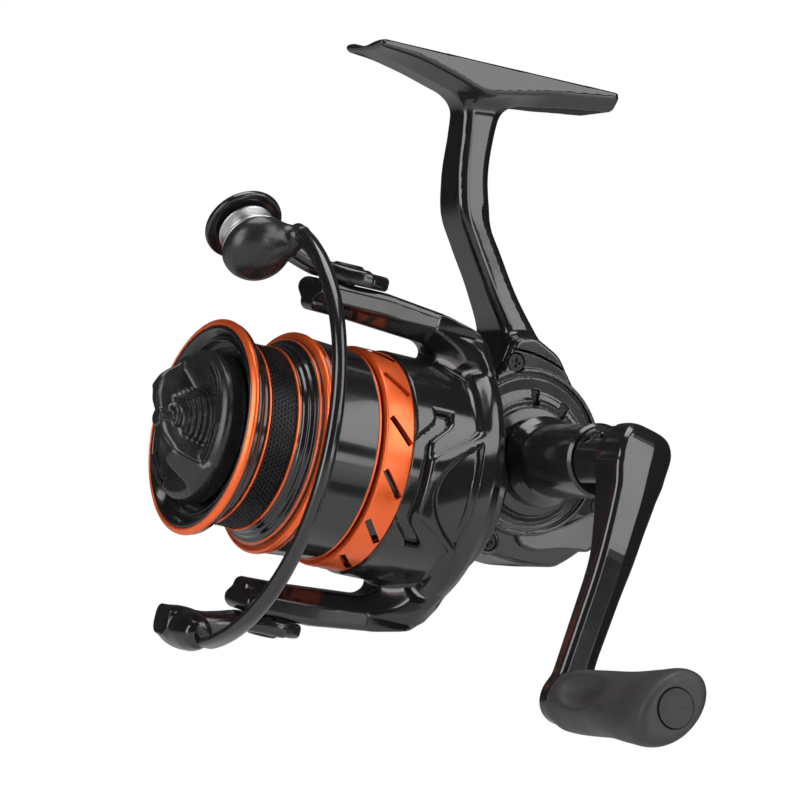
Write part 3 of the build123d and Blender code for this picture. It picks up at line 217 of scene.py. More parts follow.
# %% Clay
class Clay:
    """A block of small cells. A form is a function that gives each place its distance to the
    surface in millimetres."""

    def __init__(self, low, high, step):
        self.low, self.step = np.array(low, dtype=float), step
        lines = [np.arange(a, b + step, step, dtype=np.float32) for a, b in zip(low, high)]
        self.cells = np.meshgrid(*lines, indexing="ij", sparse=True)
        self.shape = tuple(len(line) for line in lines)

    def shell(self, form):
        """The surface where the form is zero, and the way it faces at each of its points."""
        band = 3 * self.step
        grid = openvdb.FloatGrid(band)
        block = np.broadcast_to(form(*self.cells), self.shape).astype(np.float32)
        grid.copyFromArray(np.ascontiguousarray(np.clip(block, -band, band)))
        points, quads = grid.convertToQuads(isovalue=0.0)
        points = self.low + points * self.step
        for _ in range(3):
            value, slope = steepness(form, points)
            size = np.maximum((slope * slope).sum(axis=1), 0.1)
            move = slope * -(value / size)[:, None]
            far = np.linalg.norm(move, axis=1, keepdims=True)
            points = points + move * np.minimum(1, 0.4 * self.step / np.maximum(far, 1e-9))
        slope = steepness(form, points)[1]
        return points, quads, slope / np.maximum(np.linalg.norm(slope, axis=1, keepdims=True), 1e-9)


def steepness(form, points, near_by=0.04):
    """A form's value at some points, and the direction in which it grows there."""
    x, y, z = points.T
    grows = [form(x + near_by, y, z) - form(x - near_by, y, z),
             form(x, y + near_by, z) - form(x, y - near_by, z),
             form(x, y, z + near_by) - form(x, y, z - near_by)]
    return form(x, y, z), np.stack(grows, axis=1) / (2 * near_by)


def join(p, q, soft=0.0):
    """Both forms, blended over a soft distance."""
    if soft == 0:
        return np.minimum(p, q)
    blend = np.maximum(soft - np.abs(p - q), 0) / soft
    return np.minimum(p, q) - blend * blend * soft / 4


def overlap(p, q, soft=0.0):
    """Only what lies in both forms."""
    return -join(-p, -q, soft)


def carve(p, q, soft=0.0):
    """The first form with the second one taken out of it."""
    return -join(-p, q, soft)


def edged(p, q, radius):
    """What lies in both forms, with the edge between them rounded to a radius."""
    inside = np.minimum(np.maximum(p + radius, q + radius), 0)
    return inside + np.hypot(np.maximum(p + radius, 0), np.maximum(q + radius, 0)) - radius


def bevelled(p, q, width, soft=0.5):
    """What lies in both forms, with the edge between them cut off almost flat."""
    return overlap(overlap(p, q), (p + q + width) * 0.7071, soft)


def ramp(value, start, end):
    """0 before start, 1 after end, and a smooth rise between."""
    t = np.clip((value - start) / (end - start), 0, 1)
    return t * t * (3 - 2 * t)


def polygon(x, y, corners):
    """The distance from each place to a polygon's outline, negative inside it."""
    nearest, inside = None, False
    for (x0, y0), (x1, y1) in zip(corners, corners[1:] + corners[:1]):
        ex, ey = x1 - x0, y1 - y0
        wx, wy = x - x0, y - y0
        t = np.clip((wx * ex + wy * ey) / (ex * ex + ey * ey), 0, 1)
        gap = (wx - ex * t) ** 2 + (wy - ey * t) ** 2
        nearest = gap if nearest is None else np.minimum(nearest, gap)
        above, below, left = y >= y0, y < y1, ex * wy > ey * wx
        inside = inside ^ ((above & below & left) | (~above & ~below & ~left))
    return np.where(inside, -1, 1) * np.sqrt(nearest)


def curve_through(value, places, sizes):
    """A size that changes smoothly between the places where it is known."""
    places, sizes = np.array(places, dtype=float), np.array(sizes, dtype=float)
    if places[0] > places[-1]:
        places, sizes = places[::-1], sizes[::-1]
    slope = np.gradient(sizes, places)
    value = np.clip(value, places[0], places[-1])
    k = np.clip(np.searchsorted(places, value) - 1, 0, len(places) - 2)
    width = places[k + 1] - places[k]
    t = (value - places[k]) / width
    return ((1 + 2 * t) * (1 - t) ** 2 * sizes[k] + t * (1 - t) ** 2 * width * slope[k]
            + t * t * (3 - 2 * t) * sizes[k + 1] + t * t * (t - 1) * width * slope[k + 1])


# %% [markdown]
# ## One helper that finishes every piece
#
# A finished piece has its faces pointing outwards, smooth shading with only its real edges
# sharp, its material, the body that it rides on, and the CAD nodes that it stands for.

# %% The finishing helper
finishes = {}
sharp_turn = math.radians(38)  # an edge that turns more than this is shaded sharp


def new_object(name, data):
    """An object that holds some data, linked into the scene."""
    obj = bpy.data.objects.new(name, data)
    bpy.context.collection.objects.link(obj)
    return obj


def volume(points, faces):
    """The volume inside a closed skin, negative where its faces point inwards."""
    total = 0.0
    by_sides = {}
    for face in faces:
        by_sides.setdefault(len(face), []).append(face)
    for sides, group in by_sides.items():
        corners = points[np.array(group)]
        for k in range(1, sides - 1):
            normal = np.cross(corners[:, k], corners[:, k + 1])
            total += float(np.einsum("ij,ij->", corners[:, 0], normal))
    return total / 6


def dress(obj, finish, body, *nodes):
    """Paint a finished object, let it ride on its body and stand for its nodes."""
    obj.data.materials.clear()
    obj.data.materials.append(finishes[finish])
    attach(obj, body)
    if nodes:
        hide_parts(*nodes)
    print(f"{obj.name}: {len(obj.data.polygons)} faces on {body}")
    return obj


def piece(name, bench, shells, finish, body, *nodes):
    """One finished object from closed skins drawn on a bench. A skin of clay brings the way it
    faces at each point, which gives its reflections their clean edges."""
    points, faces, facing = [], [], []
    for skin_points, skin_faces, *skin_facing in shells:
        placed = bench.place(skin_points)
        skin_faces = [tuple(int(i) for i in face) for face in skin_faces]
        if volume(placed, skin_faces) < 0:
            skin_faces = [face[::-1] for face in skin_faces]
        faces.extend(tuple(i + len(points) for i in face) for face in skin_faces)
        points.extend(placed.tolist())
        for slope in skin_facing:
            facing.extend((slope @ bench.axes).tolist())
    mesh = bpy.data.meshes.new(name)
    mesh.from_pydata(points, [], faces)
    mesh.polygons.foreach_set("use_smooth", [True] * len(mesh.polygons))
    if len(facing) == len(points):
        mesh.normals_split_custom_set_from_vertices(facing)
    else:
        mesh.set_sharp_from_angle(angle=sharp_turn)
    return dress(new_object(name, mesh), finish, body, *nodes)


def moulded(name, bench, low, high, step, form, finish, body, *nodes):
    """One finished object from a form in a block of clay."""
    return piece(name, bench, [Clay(low, high, step).shell(form)], finish, body, *nodes)


# %% [markdown]
# ## Finishes
#
# A finish is more than a colour. Gloss plastic shows a faint orange peel and fine wiping marks
# in its roughness. Anodised aluminium is metal with a satin grain. Each recipe below starts
# from the same Principled shader, adds noise at the scale of the real surface, and reads Object
# coordinates, which stay with the piece when it moves. The small node helpers below build every
# tree in this lesson: shaders, geometry nodes and the world.

# %% The node helpers
def plug(tree, node, links):
    """Fill a node's inputs: a socket is linked to them, anything else is a plain value."""
    for label, source in links.items():
        socket = node.inputs[label]
        if isinstance(source, bpy.types.NodeSocket):
            tree.links.new(source, socket)
        else:
            socket.default_value = source


def node_maker(tree):
    """A short way to add a node to a tree, set its values and fill its inputs."""

    def add(kind, links=None, **values):
        node = tree.nodes.new(kind)
        for label, value in values.items():
            setattr(node, label, value)
        plug(tree, node, links or {})
        return node

    return add


def math_maker(add):
    """A short way to add a sum to a tree: its operation first, then its values."""

    def work(operation, *values):
        return add("ShaderNodeMath", dict(enumerate(values)), operation=operation).outputs[0]

    return work


# %% The finish helper
def finish(name, colour, metallic, roughness, spread, grain, bump, depth, coat=0.0, fleck=0.06,
           coat_rough=0.05):
    """A material with varied roughness, a fine bump and a slight change of colour. Grain and
    bump are patterns per metre; depth is the bump's height in metres."""
    material = bpy.data.materials.new(name)
    material.use_nodes = True
    tree = material.node_tree
    shader = tree.nodes["Principled BSDF"]
    add = node_maker(tree)
    place = add("ShaderNodeTexCoord").outputs["Object"]
    broad, fine = [add("ShaderNodeTexNoise", {"Scale": scale, "Detail": detail, "Vector": place})
                   for scale, detail in ((grain, 5.0), (bump, 3.0))]
    rough = add("ShaderNodeMapRange", {
        "From Min": 0.3, "From Max": 0.7, "To Min": max(roughness - spread, 0.01),
        "To Max": roughness + spread, "Value": broad.outputs["Fac"]})
    tint = add("ShaderNodeMix", {
        "A": (*[c * (1 - fleck) for c in colour], 1),
        "B": (*[min(c * (1 + fleck), 1) for c in colour], 1),
        "Factor": broad.outputs["Fac"]}, data_type="RGBA")
    dent = add("ShaderNodeBump", {"Strength": 1.0, "Distance": depth,
                                  "Height": fine.outputs["Fac"]})
    plug(tree, shader, {"Metallic": metallic, "Roughness": rough.outputs["Result"],
                        "Base Color": tint.outputs["Result"],
                        "Normal": dent.outputs["Normal"]})
    if coat:
        plug(tree, shader, {"Coat Weight": coat, "Coat Roughness": coat_rough})
    finishes[name] = material


# %% The finishes
# name, colour, metallic, roughness and its spread, grain, bump, the bump's depth
finish("gloss_black", (0.012, 0.012, 0.013), 0.0, 0.17, 0.05, 90, 1400, 0.0000012, coat=0.4)
finish("satin_black", (0.018, 0.018, 0.019), 0.0, 0.27, 0.06, 300, 6000, 0.000006)
finish("orange_metal", (1.0, 0.145, 0.028), 0.55, 0.32, 0.05, 400, 5000, 0.000002, coat=0.2,
       coat_rough=0.2)
finish("dark_knurl", (0.022, 0.022, 0.025), 0.5, 0.30, 0.06, 500, 5000, 0.000003)
finish("grip_rubber", (0.032, 0.031, 0.033), 0.0, 0.55, 0.08, 220, 2600, 0.00003)
finish("silver_metal", (0.50, 0.50, 0.51), 1.0, 0.34, 0.06, 500, 4000, 0.000002)
finish("steel", (0.46, 0.46, 0.48), 1.0, 0.26, 0.08, 600, 4000, 0.000002)
finish("black_steel", (0.018, 0.018, 0.02), 0.6, 0.34, 0.06, 500, 4000, 0.000002)
finish("gear_zinc", (0.42, 0.42, 0.43), 1.0, 0.42, 0.08, 500, 3000, 0.000006)
finish("brass", (0.62, 0.42, 0.15), 1.0, 0.30, 0.06, 500, 3000, 0.000003)
finish("felt", (0.30, 0.29, 0.27), 0.0, 0.92, 0.05, 700, 2500, 0.00006, fleck=0.2)
finish("white_plastic", (0.72, 0.72, 0.70), 0.0, 0.42, 0.05, 300, 3000, 0.000006)
for node in frame["nodes"].values():
    names = [slot.material.name.split(".")[0] for slot in node.material_slots]
    for index, name in enumerate(names):
        if name in finishes:
            node.data.materials[index] = finishes[name]
print("finishes:", sorted(finishes))

# %% [markdown]
# ## The spool
#
# The spool is one turned piece: a lip, a waist for the line, a flange and a deep skirt that
# runs over the front of the rotor. It is drawn as one profile, front to rear and back through
# the inside. The orange lip and flange rings are pieces of their own, because they are turned
# from aluminium and pressed on.

# %% The spool's body and its rings
spool_profile = [(1.0, 19.8), (0.35, 19.75), (0.1, 19.4), (0.2, 18.9), (0.9, 18.4),
                 (1.9, 17.7), (1.9, 17.35), (1.3, 17.2), (1.3, 16.95),
                 (2.6, 16.7), (2.8, 15.9), (3.8, 15.4), (3.8, 13.2), (9.0, 13.2), (9.0, 3.0),
                 (20.5, 3.0), (20.5, 6.0), (11.0, 6.0), (11.0, 15.4), (14.3, 15.4),
                 (17.6, 19.3), (28.3, 19.3), (28.3, 20.4), (28.1, 20.7), (27.85, 20.55),
                 (18.4, 21.2), (18.2, 21.3), (17.3, 20.9), (17.3, 20.2), (16.0, 20.2),
                 (15.45, 20.35), (15.2, 19.9), (14.9, 19.75), (14.6, 19.0), (13.9, 18.7),
                 (13.6, 18.15), (13.0, 18.0), (12.7, 17.6), (12.1, 17.6), (12.1, 17.1),
                 (5.4, 17.1), (5.4, 17.6), (4.6, 17.6), (3.9, 17.9), (3.7, 18.2), (2.7, 20.3),
                 (2.3, 20.7), (1.5, 20.8), (1.5, 19.8)]
piece("spool_body", reel_bench, [turned(spool_profile, 160, 0.18)],
      "gloss_black", "spool_group", "spool")
lip_profile = [(0.5, 19.7), (0.12, 19.85), (0.15, 20.15), (0.6, 20.8), (0.85, 21.0), (1.3, 21.0),
               (1.5, 20.8), (1.5, 19.7)]
piece("spool_lip", reel_bench, [turned(lip_profile, 160, 0.22)],
      "orange_metal", "spool_group", "lip_ring")
flange_profile = [(16.0, 20.1), (16.0, 21.3), (16.35, 21.7), (17.0, 21.7), (17.3, 21.45),
                  (17.3, 20.1)]
piece("spool_flange", reel_bench, [turned(flange_profile, 160, 0.18)],
      "orange_metal", "spool_group", "flange_ring")
arbor_lines = [turned([(s0, 17.2), (s0, 18.0), (s1, 18.0), (s1, 17.2)], 160, 0.12)
               for s0, s1 in ((5.4, 5.85), (11.65, 12.1))]
piece("arbor_lines", reel_bench, arbor_lines, "orange_metal", "spool_group", "arbor_rings")
trim_lines = [turned([(3.45, 18.4), (3.55, 18.75), (3.75, 18.45), (3.65, 18.1)], 160, 0.05),
              turned([(15.05, 19.8), (15.2, 20.15), (15.4, 20.2), (15.3, 19.8)], 160, 0.05),
              turned([(17.9, 21.0), (17.95, 21.35), (18.15, 21.35), (18.2, 21.0)], 160, 0.05),
              turned([(27.9, 20.3), (27.9, 20.75), (28.3, 20.75), (28.3, 20.3)], 160, 0.1)]
piece("trim_lines", reel_bench, trim_lines, "orange_metal", "spool_group")

# %% [markdown]
# ### The knurled band
#
# A ring of fine pyramids keeps the first turn of line from slipping. Pyramids repeat, so a
# geometry-node tree makes them: it sets one pyramid on each point of a grid that has been
# wrapped round the arbor. Rows, pitch and radius are named inputs of the tree.

# %% The knurl tree
def geometry_tree(name, inputs):
    """A new geometry-node tree with named inputs, and its group input and output nodes."""
    tree = bpy.data.node_groups.new(name, "GeometryNodeTree")
    tree.interface.new_socket("Geometry", in_out="OUTPUT", socket_type="NodeSocketGeometry")
    for label, (kind, value) in inputs.items():
        socket = tree.interface.new_socket(label, in_out="INPUT", socket_type=kind)
        if value is not None:
            socket.default_value = value
    return tree, tree.nodes.new("NodeGroupInput"), tree.nodes.new("NodeGroupOutput")


def grown(name, tree, values, finish_name, body, *nodes):
    """Runs a tree, keeps its result as a plain mesh and finishes it."""
    mesh = bpy.data.meshes.new(name + "_seed")
    seed = new_object(name + "_seed", mesh)
    modifier = seed.modifiers.new("tree", "NODES")
    modifier.node_group = tree
    for item in tree.interface.items_tree:
        if item.item_type == "SOCKET" and item.in_out == "INPUT" and item.name in values:
            modifier[item.identifier] = values[item.name]
    depsgraph = bpy.context.evaluated_depsgraph_get()
    result = bpy.data.meshes.new_from_object(seed.evaluated_get(depsgraph))
    bpy.data.objects.remove(seed)
    result.name = name
    return dress(new_object(name, result), finish_name, body, *nodes)


def hand_over(add, tree, given, made, geometry):
    """Make what a tree has built into one plain mesh, paint it and send it out."""
    real = add("GeometryNodeRealizeInstances", {"Geometry": geometry})
    painted = add("GeometryNodeSetMaterial", {"Geometry": real.outputs[0],
                                              "Material": given.outputs["Material"]})
    tree.links.new(painted.outputs[0], made.inputs[0])


knurl_tree, given, made = geometry_tree("Knurl", {
    "Around": ("NodeSocketInt", 112), "Rows": ("NodeSocketInt", 8),
    "Radius": ("NodeSocketFloat", 0.0175), "Front": ("NodeSocketFloat", 0.0),
    "Width": ("NodeSocketFloat", 0.005), "Pyramid": ("NodeSocketFloat", 0.0005),
    "Height": ("NodeSocketFloat", 0.0004), "Axis Height": ("NodeSocketFloat", 0.0),
    "Material": ("NodeSocketMaterial", None)})
add = node_maker(knurl_tree)
work = math_maker(add)
around, rows, radius = (given.outputs[label] for label in ("Around", "Rows", "Radius"))
spots = add("GeometryNodeMeshLine", {"Count": work("MULTIPLY", around, rows)}, mode="OFFSET")
number = add("GeometryNodeInputIndex").outputs[0]
row_number = work("FLOOR", work("DIVIDE", number, around))
# each row is shifted by half a pitch from the row before it
turn_count = work("ADD", number, work("MULTIPLY", row_number, 0.5))
turn = work("MULTIPLY", work("DIVIDE", turn_count, around), 2 * math.pi)
sine, cosine = work("SINE", turn), work("COSINE", turn)
row_share = work("DIVIDE", work("ADD", row_number, 0.5), rows)
spot = add("ShaderNodeCombineXYZ", {
    "X": work("MULTIPLY_ADD", row_share, given.outputs["Width"], given.outputs["Front"]),
    "Y": work("MULTIPLY", cosine, radius),
    "Z": work("MULTIPLY_ADD", sine, radius, given.outputs["Axis Height"])})
placed = add("GeometryNodeSetPosition", {"Geometry": spots.outputs["Mesh"],
                                         "Position": spot.outputs[0]})
outward = add("ShaderNodeCombineXYZ", {"X": 0.0, "Y": cosine, "Z": sine})
facing = add("FunctionNodeAlignRotationToVector", {"Vector": outward.outputs[0]}, axis="Z")
pyramid = add("GeometryNodeMeshCone", {"Vertices": 4, "Radius Bottom": given.outputs["Pyramid"],
                                       "Radius Top": 0.00006,
                                       "Depth": given.outputs["Height"]})
stood = add("GeometryNodeInstanceOnPoints", {"Points": placed.outputs[0],
                                             "Instance": pyramid.outputs["Mesh"],
                                             "Rotation": facing.outputs[0]})
hand_over(add, knurl_tree, given, made, stood.outputs[0])
grown("knurl_pyramids", knurl_tree, {
    "Around": 116, "Rows": 8, "Radius": 0.01735, "Front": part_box("arbor_band")[0].x,
    "Width": 0.0058, "Pyramid": 0.00056, "Height": 0.00048, "Axis Height": spool_z / 1000,
    "Material": finishes["dark_knurl"]}, "dark_knurl", "spool_group")
piece("knurl_floor", reel_bench, [turned([(5.85, 17.1), (5.85, 17.4), (11.65, 17.4),
                                          (11.65, 17.1)], 128, 0.05)],
      "dark_knurl", "spool_group", "arbor_band")

# %% [markdown]
# ## The rotor
#
# The rotor is the hardest form on the reel. A round cup carries two arms that reach forward
# over the spool. Behind the cup a collar widens into an oval hoop, its front edge runs as a
# wave round the cup, and a leaf-shaped hollow is pressed into each side. All of this flows
# together, so it is modelled in clay on the rotor's own bench, which is turned a little with
# the arms.

# %% The rotor shell
arm_side = rounded([(16.2, 27.4), (16.2, 31.6), (17.4, 32.8), (31.5, 32.8), (44.5, 31.5),
                    (50.0, 29.7), (53.0, 27.6), (54.9, 24.4), (54.9, 20.4), (46.6, 20.4),
                    (44.8, 23.4), (42.0, 25.2), (26.0, 26.2), (17.0, 26.4)], 1.0)
rotor_inner, rotor_rear = 19.6, 54.9
hoop_side, hoop_top = 22.9, 26.2  # the rear hoop's half width and half height
cover_side = [(26.8, 31.5), (26.8, 36.0), (46.0, 36.0), (48.7, 33.0), (48.7, 28.9), (44.5, 30.2),
              (31.5, 31.5)]


def rotor_form(s, n, r):
    reach = np.hypot(n, r)
    angle = np.degrees(np.arctan2(r, np.abs(n)))
    cup = polygon(s, reach, [(36.0, 2.75), (36.0, 9.0), (36.6, 18.8), (29.5, 18.8),
                             (29.5, 20.6), (35.1, 20.6), (35.1, 21.5), (35.7, 22.1),
                             (54.8, 22.1), (54.8, rotor_inner), (38.2, rotor_inner),
                             (38.2, 6.0),
                             (39.4, 6.0), (39.4, 2.75)])
    wave = (38.7 + 10.6 * ramp(np.abs(angle + 3), 11, 34)
            - 3.5 * ramp(np.abs(angle), 68, 82))
    hoop = 1 / np.sqrt((np.cos(np.radians(angle)) / hoop_side) ** 2
                       + (np.sin(np.radians(angle)) / hoop_top) ** 2)
    edge = (hoop_side + (hoop - hoop_side) * ramp(s, wave - 0.8, wave + 2.8)
            - 1.0 * ramp(s, 52.8, 55.2))
    leaf_front = 40.8 + 0.0115 * (angle + 4) ** 2
    edge = edge - 1.7 * ramp(np.minimum(s - leaf_front, 49.8 - s), -0.2, 1.2)
    collar = edged((reach - edge) * 0.93, np.maximum(wave - s, s - rotor_rear), 0.6)
    collar = carve(collar, reach - rotor_inner)
    groove_line = 37.0 + 4.6 * ramp(np.abs(angle + 2), 19, 35)
    steep = 1 - 0.22 * ramp(np.abs(angle + 2), 18, 24) * ramp(-np.abs(angle + 2), -36, -30)
    groove = np.maximum((np.abs(s - groove_line) - 1.5) * steep, 20.6 - reach)
    groove = np.maximum(groove, np.abs(angle) * 0.4 - 14.6)
    arm_half = 5.5 + 6.4 * ramp(s, 42.0, 53.0)
    bevel = 0.6 + 2.4 * ramp(-np.abs(r), -30.5, -28.0)
    arms = bevelled(polygon(s, np.abs(r), arm_side), np.abs(n) - arm_half, bevel)
    whole = join(carve(join(cup, collar, 1.2), groove, 1.1), arms, 2.6)
    cover_seat = np.maximum(polygon(s, np.abs(r), cover_side), np.abs(n) - 3.6)
    whole = carve(whole, cover_seat, 0.2)
    return np.maximum(whole, 19.4 - reach - 40 * (s < 38.3))


moulded("rotor_shell", rotor_bench, (15.4, -25.0, -34.4), (56.4, 25.0, 34.4), 0.42,
        rotor_form, "gloss_black", "rotor_group", "rotor")

# %% The covers on the arms
plate_side = [(27.0, 31.7), (27.0, 32.95), (31.5, 32.95), (44.5, 31.65), (48.5, 30.3),
              (48.5, 29.1), (44.5, 30.4), (31.5, 31.7)]


def cover_form(s, n, r):
    plate = edged(polygon(s, r, plate_side), np.abs(n) - 3.45, 0.25)
    screw_dish = np.maximum(np.hypot(s - 29.4, n) - 1.75, 32.0 - r)
    return carve(plate, screw_dish, 0.2)


plate_points, plate_quads, plate_facing = Clay((26.4, -4.2, 28.4), (49.2, 4.2, 33.8),
                                               0.24).shell(cover_form)
flip = np.array((1, 1, -1))
piece("arm_cover_plates", rotor_bench,
      [(plate_points, plate_quads, plate_facing),
       (plate_points * flip, plate_quads, plate_facing * flip)],
      "gloss_black", "rotor_group", "arm_covers")

# %% [markdown]
# ### The slotted band
#
# The orange ring round the front of the rotor has a row of slanted slots. It is a turned ring
# with the slots cut by a geometry-node tree: one box-shaped cutter is set at equal steps round
# the axis and subtracted in one boolean.

# %% The slotted band tree
slot_tree, given, made = geometry_tree("Slotted band", {
    "Slots": ("NodeSocketInt", 13), "Radius": ("NodeSocketFloat", 0.021),
    "Middle": ("NodeSocketFloat", 0.0), "Axis Height": ("NodeSocketFloat", 0.0),
    "Slot Length": ("NodeSocketFloat", 0.005), "Slot Width": ("NodeSocketFloat", 0.0014),
    "Slant": ("NodeSocketFloat", 0.5), "Band": ("NodeSocketObject", None),
    "Material": ("NodeSocketMaterial", None)})
add = node_maker(slot_tree)
work = math_maker(add)
slots, radius = given.outputs["Slots"], given.outputs["Radius"]
spots = add("GeometryNodeMeshLine", {"Count": slots}, mode="OFFSET")
number = add("GeometryNodeInputIndex").outputs[0]
turn = work("MULTIPLY", work("DIVIDE", number, slots), 2 * math.pi)
sine, cosine = work("SINE", turn), work("COSINE", turn)
spot = add("ShaderNodeCombineXYZ", {
    "X": given.outputs["Middle"], "Y": work("MULTIPLY", cosine, radius),
    "Z": work("ADD", work("MULTIPLY", sine, radius), given.outputs["Axis Height"])})
placed = add("GeometryNodeSetPosition", {"Geometry": spots.outputs["Mesh"],
                                         "Position": spot.outputs[0]})
spin = add("ShaderNodeCombineXYZ", {"X": turn, "Y": 0.0, "Z": 0.0})
spin_turn = add("FunctionNodeEulerToRotation", {"Euler": spin.outputs[0]})
slant = add("ShaderNodeCombineXYZ", {"X": 0.0, "Y": given.outputs["Slant"], "Z": 0.0})
slant_turn = add("FunctionNodeEulerToRotation", {"Euler": slant.outputs[0]})
both = add("FunctionNodeRotateRotation", {"Rotation": slant_turn.outputs[0],
                                          "Rotate By": spin_turn.outputs[0]},
           rotation_space="GLOBAL")
cutter_size = add("ShaderNodeCombineXYZ", {"X": given.outputs["Slot Length"], "Y": 0.006,
                                           "Z": given.outputs["Slot Width"]})
cutter = add("GeometryNodeMeshCube", {"Size": cutter_size.outputs[0]})
cutters = add("GeometryNodeInstanceOnPoints", {"Points": placed.outputs[0],
                                               "Instance": cutter.outputs["Mesh"],
                                               "Rotation": both.outputs[0]})
cutters_real = add("GeometryNodeRealizeInstances", {"Geometry": cutters.outputs[0]})
band_in = add("GeometryNodeObjectInfo", {"Object": given.outputs["Band"]})
cut = add("GeometryNodeMeshBoolean", {"Mesh 1": band_in.outputs["Geometry"],
                                      "Mesh 2": cutters_real.outputs[0]},
          operation="DIFFERENCE")
hand_over(add, slot_tree, given, made, cut.outputs["Mesh"])

# %% The slotted band
band_profile = [(29.1, 18.9), (29.1, 21.5), (29.3, 21.7), (34.85, 21.7), (35.1, 21.5),
                (35.1, 20.65), (29.45, 20.65), (29.45, 18.9)]
band_points, band_faces = turned(band_profile, 168, 0.12, 2)
band_points = reel_bench.place(band_points)
if volume(band_points, band_faces) < 0:
    band_faces = [face[::-1] for face in band_faces]
blank_mesh = bpy.data.meshes.new("band_blank")
blank_mesh.from_pydata(band_points.tolist(), [], band_faces)
blank = new_object("band_blank", blank_mesh)
slotted = grown("slotted_band", slot_tree, {
    "Slots": 13, "Radius": 0.0215, "Middle": (lip_x + 32.15) / 1000,
    "Axis Height": spool_z / 1000, "Slot Length": 0.0066, "Slot Width": 0.0013,
    "Slant": math.radians(-47), "Band": blank, "Material": finishes["orange_metal"]},
    "orange_metal", "rotor_group", "rotor_band")
bpy.data.objects.remove(blank)
slotted.data.polygons.foreach_set("use_smooth", [True] * len(slotted.data.polygons))
slotted.data.set_sharp_from_angle(angle=math.radians(30))

# %% [markdown]
# ## The bail
#
# The bail is an arm on a pivot at the tip of the upper rotor arm, a line roller between two
# domes, and a round wire that arcs over the spool to a small lever on the lower arm. The arm
# and the lever are clay, the roller and its domes are turned on the roller's own slanted axis,
# and the wire is a skin whose rings change from round to flat at its lower end.

# %% The roller and its domes
roller_axis = Vector(joints["line_roller_spin"]["axis"])
roller_axis = -roller_axis if roller_axis.y > 0 else roller_axis
roller_place = Vector(joints["line_roller_spin"]["pos_m"]) * 1000
roller_front = Vector((-1, 0, 0)) - roller_axis * Vector((-1, 0, 0)).dot(roller_axis)
roller_front.normalize()
roller_side = roller_axis.cross(roller_front)
roller_bench = Bench(roller_place, roller_axis, roller_front, roller_side)
roller_profile = [(0.8, 2.45), (0.8, 5.5), (1.3, 5.6), (1.6, 5.0), (2.2, 4.05), (3.4, 4.15),
                  (4.2, 5.0), (4.7, 6.2), (5.1, 6.4), (5.4, 6.3), (5.4, 2.45)]
piece("roller_drum", roller_bench, [turned(roller_profile, 72, 0.25)],
      "silver_metal", "roller", "line_roller")

# %% The bail arm
pivot_station = 23.5  # where the bail turns on the rotor's arms
arm_face, arm_front = 33.12, 16.4  # nothing of the bail comes inside these on the arms


def about(s, n, r, corner, direction):
    """For places on the rotor's bench, the distance along a line in the reel and from it."""
    start = rotor_bench.axes @ (np.array(corner) - rotor_bench.corner)
    line = rotor_bench.axes @ np.array(direction)
    line = line / np.linalg.norm(line)
    ds, dn, dr = s - start[0], n - start[1], r - start[2]
    along = ds * line[0] + dn * line[1] + dr * line[2]
    return along, np.sqrt(np.maximum(ds * ds + dn * dn + dr * dr - along * along, 0))


disc_side = rounded([(-2.2, -1.0), (-2.2, 4.4), (-1.7, 6.6), (-0.9, 7.7), (0.0, 7.7),
                     (0.3, 7.3), (0.3, 6.8), (0.0, 6.6), (0.0, -1.0)], 0.25)


def bail_arm_form(s, n, r):
    along, away = about(s, n, r, roller_place, roller_axis)
    middle = curve_through(s, (-1.0, 3.0, 6.0, 10.0, 14.0, 17.0, 20.0, 24.0),
                           (39.6, 38.8, 38.0, 36.8, 35.6, 34.9, 34.6, 34.6))
    half = curve_through(s, (-1.0, 4.0, 9.0, 13.0, 17.0, 20.0, 24.0),
                         (4.6, 4.7, 4.4, 4.2, 4.8, 5.8, 7.2))
    side = curve_through(s, (-1.0, 6.0, 14.0, 20.0), (-1.6, -1.2, -0.4, 0.0))
    lever = bevelled(np.abs(r - middle) * 0.93 - 1.5, np.abs(n - side) - half, 0.8)
    lever = np.maximum(lever, np.maximum(-0.8 - s, s - 25.0))
    pad = edged(np.hypot(s - 24.6, n) - 7.4, np.abs(r - 34.45) - 1.45, 1.0)
    disc = polygon(along, away, disc_side)
    whole = join(join(lever, pad, 0.8), disc, 2.0)
    whole = carve(whole, np.maximum(0.35 - along, away - 8.9), 0.2)
    pin = np.maximum(away - 1.6, np.abs(along) - 6.0)
    whole = carve(carve(whole, pin, 0.1), np.maximum(away - 3.1, along + 2.2), 0.2)
    whole = carve(whole, np.maximum(r - arm_face, arm_front - s))
    return carve(whole, np.maximum(np.hypot(s - pivot_station, n) - 3.4, 35.3 - r), 0.2)


moulded("bail_bracket", rotor_bench, (-9.0, -13.0, 29.0), (33.0, 11.0, 48.0), 0.28,
        bail_arm_form, "gloss_black", "bail", "bail_arm")

# %% The wire's cone
wire_reach, wire_station, wire_radius = 41.0, 7.0, 1.4


def wire_spot(angle):
    """A point on the wire's arc on the rotor's bench: 0 faces the handle, 90 points up."""
    turn = math.radians(angle)
    return np.array((wire_station, wire_reach * math.cos(turn), wire_reach * math.sin(turn)))


dome_side = rounded([(5.75, -1.0), (5.75, 6.4), (6.2, 6.9), (7.7, 6.9), (9.7, 6.0),
                     (11.3, 4.1), (12.1, 1.6), (12.2, -1.0)], 1.2)
dome_spot = np.array((1.5, 6.0, 34.5))
elbow = np.array((6.2, 7.4, 38.6))


def rod_form(s, n, r, start, end, start_radius, end_radius):
    """A tapering rod with round ends."""
    line = end - start
    long = float(line @ line)
    t = np.clip(((s - start[0]) * line[0] + (n - start[1]) * line[1] + (r - start[2]) * line[2])
                / long, 0, 1)
    away = np.sqrt((s - start[0] - t * line[0]) ** 2 + (n - start[1] - t * line[1]) ** 2
                   + (r - start[2] - t * line[2]) ** 2)
    return away - start_radius - t * (end_radius - start_radius)


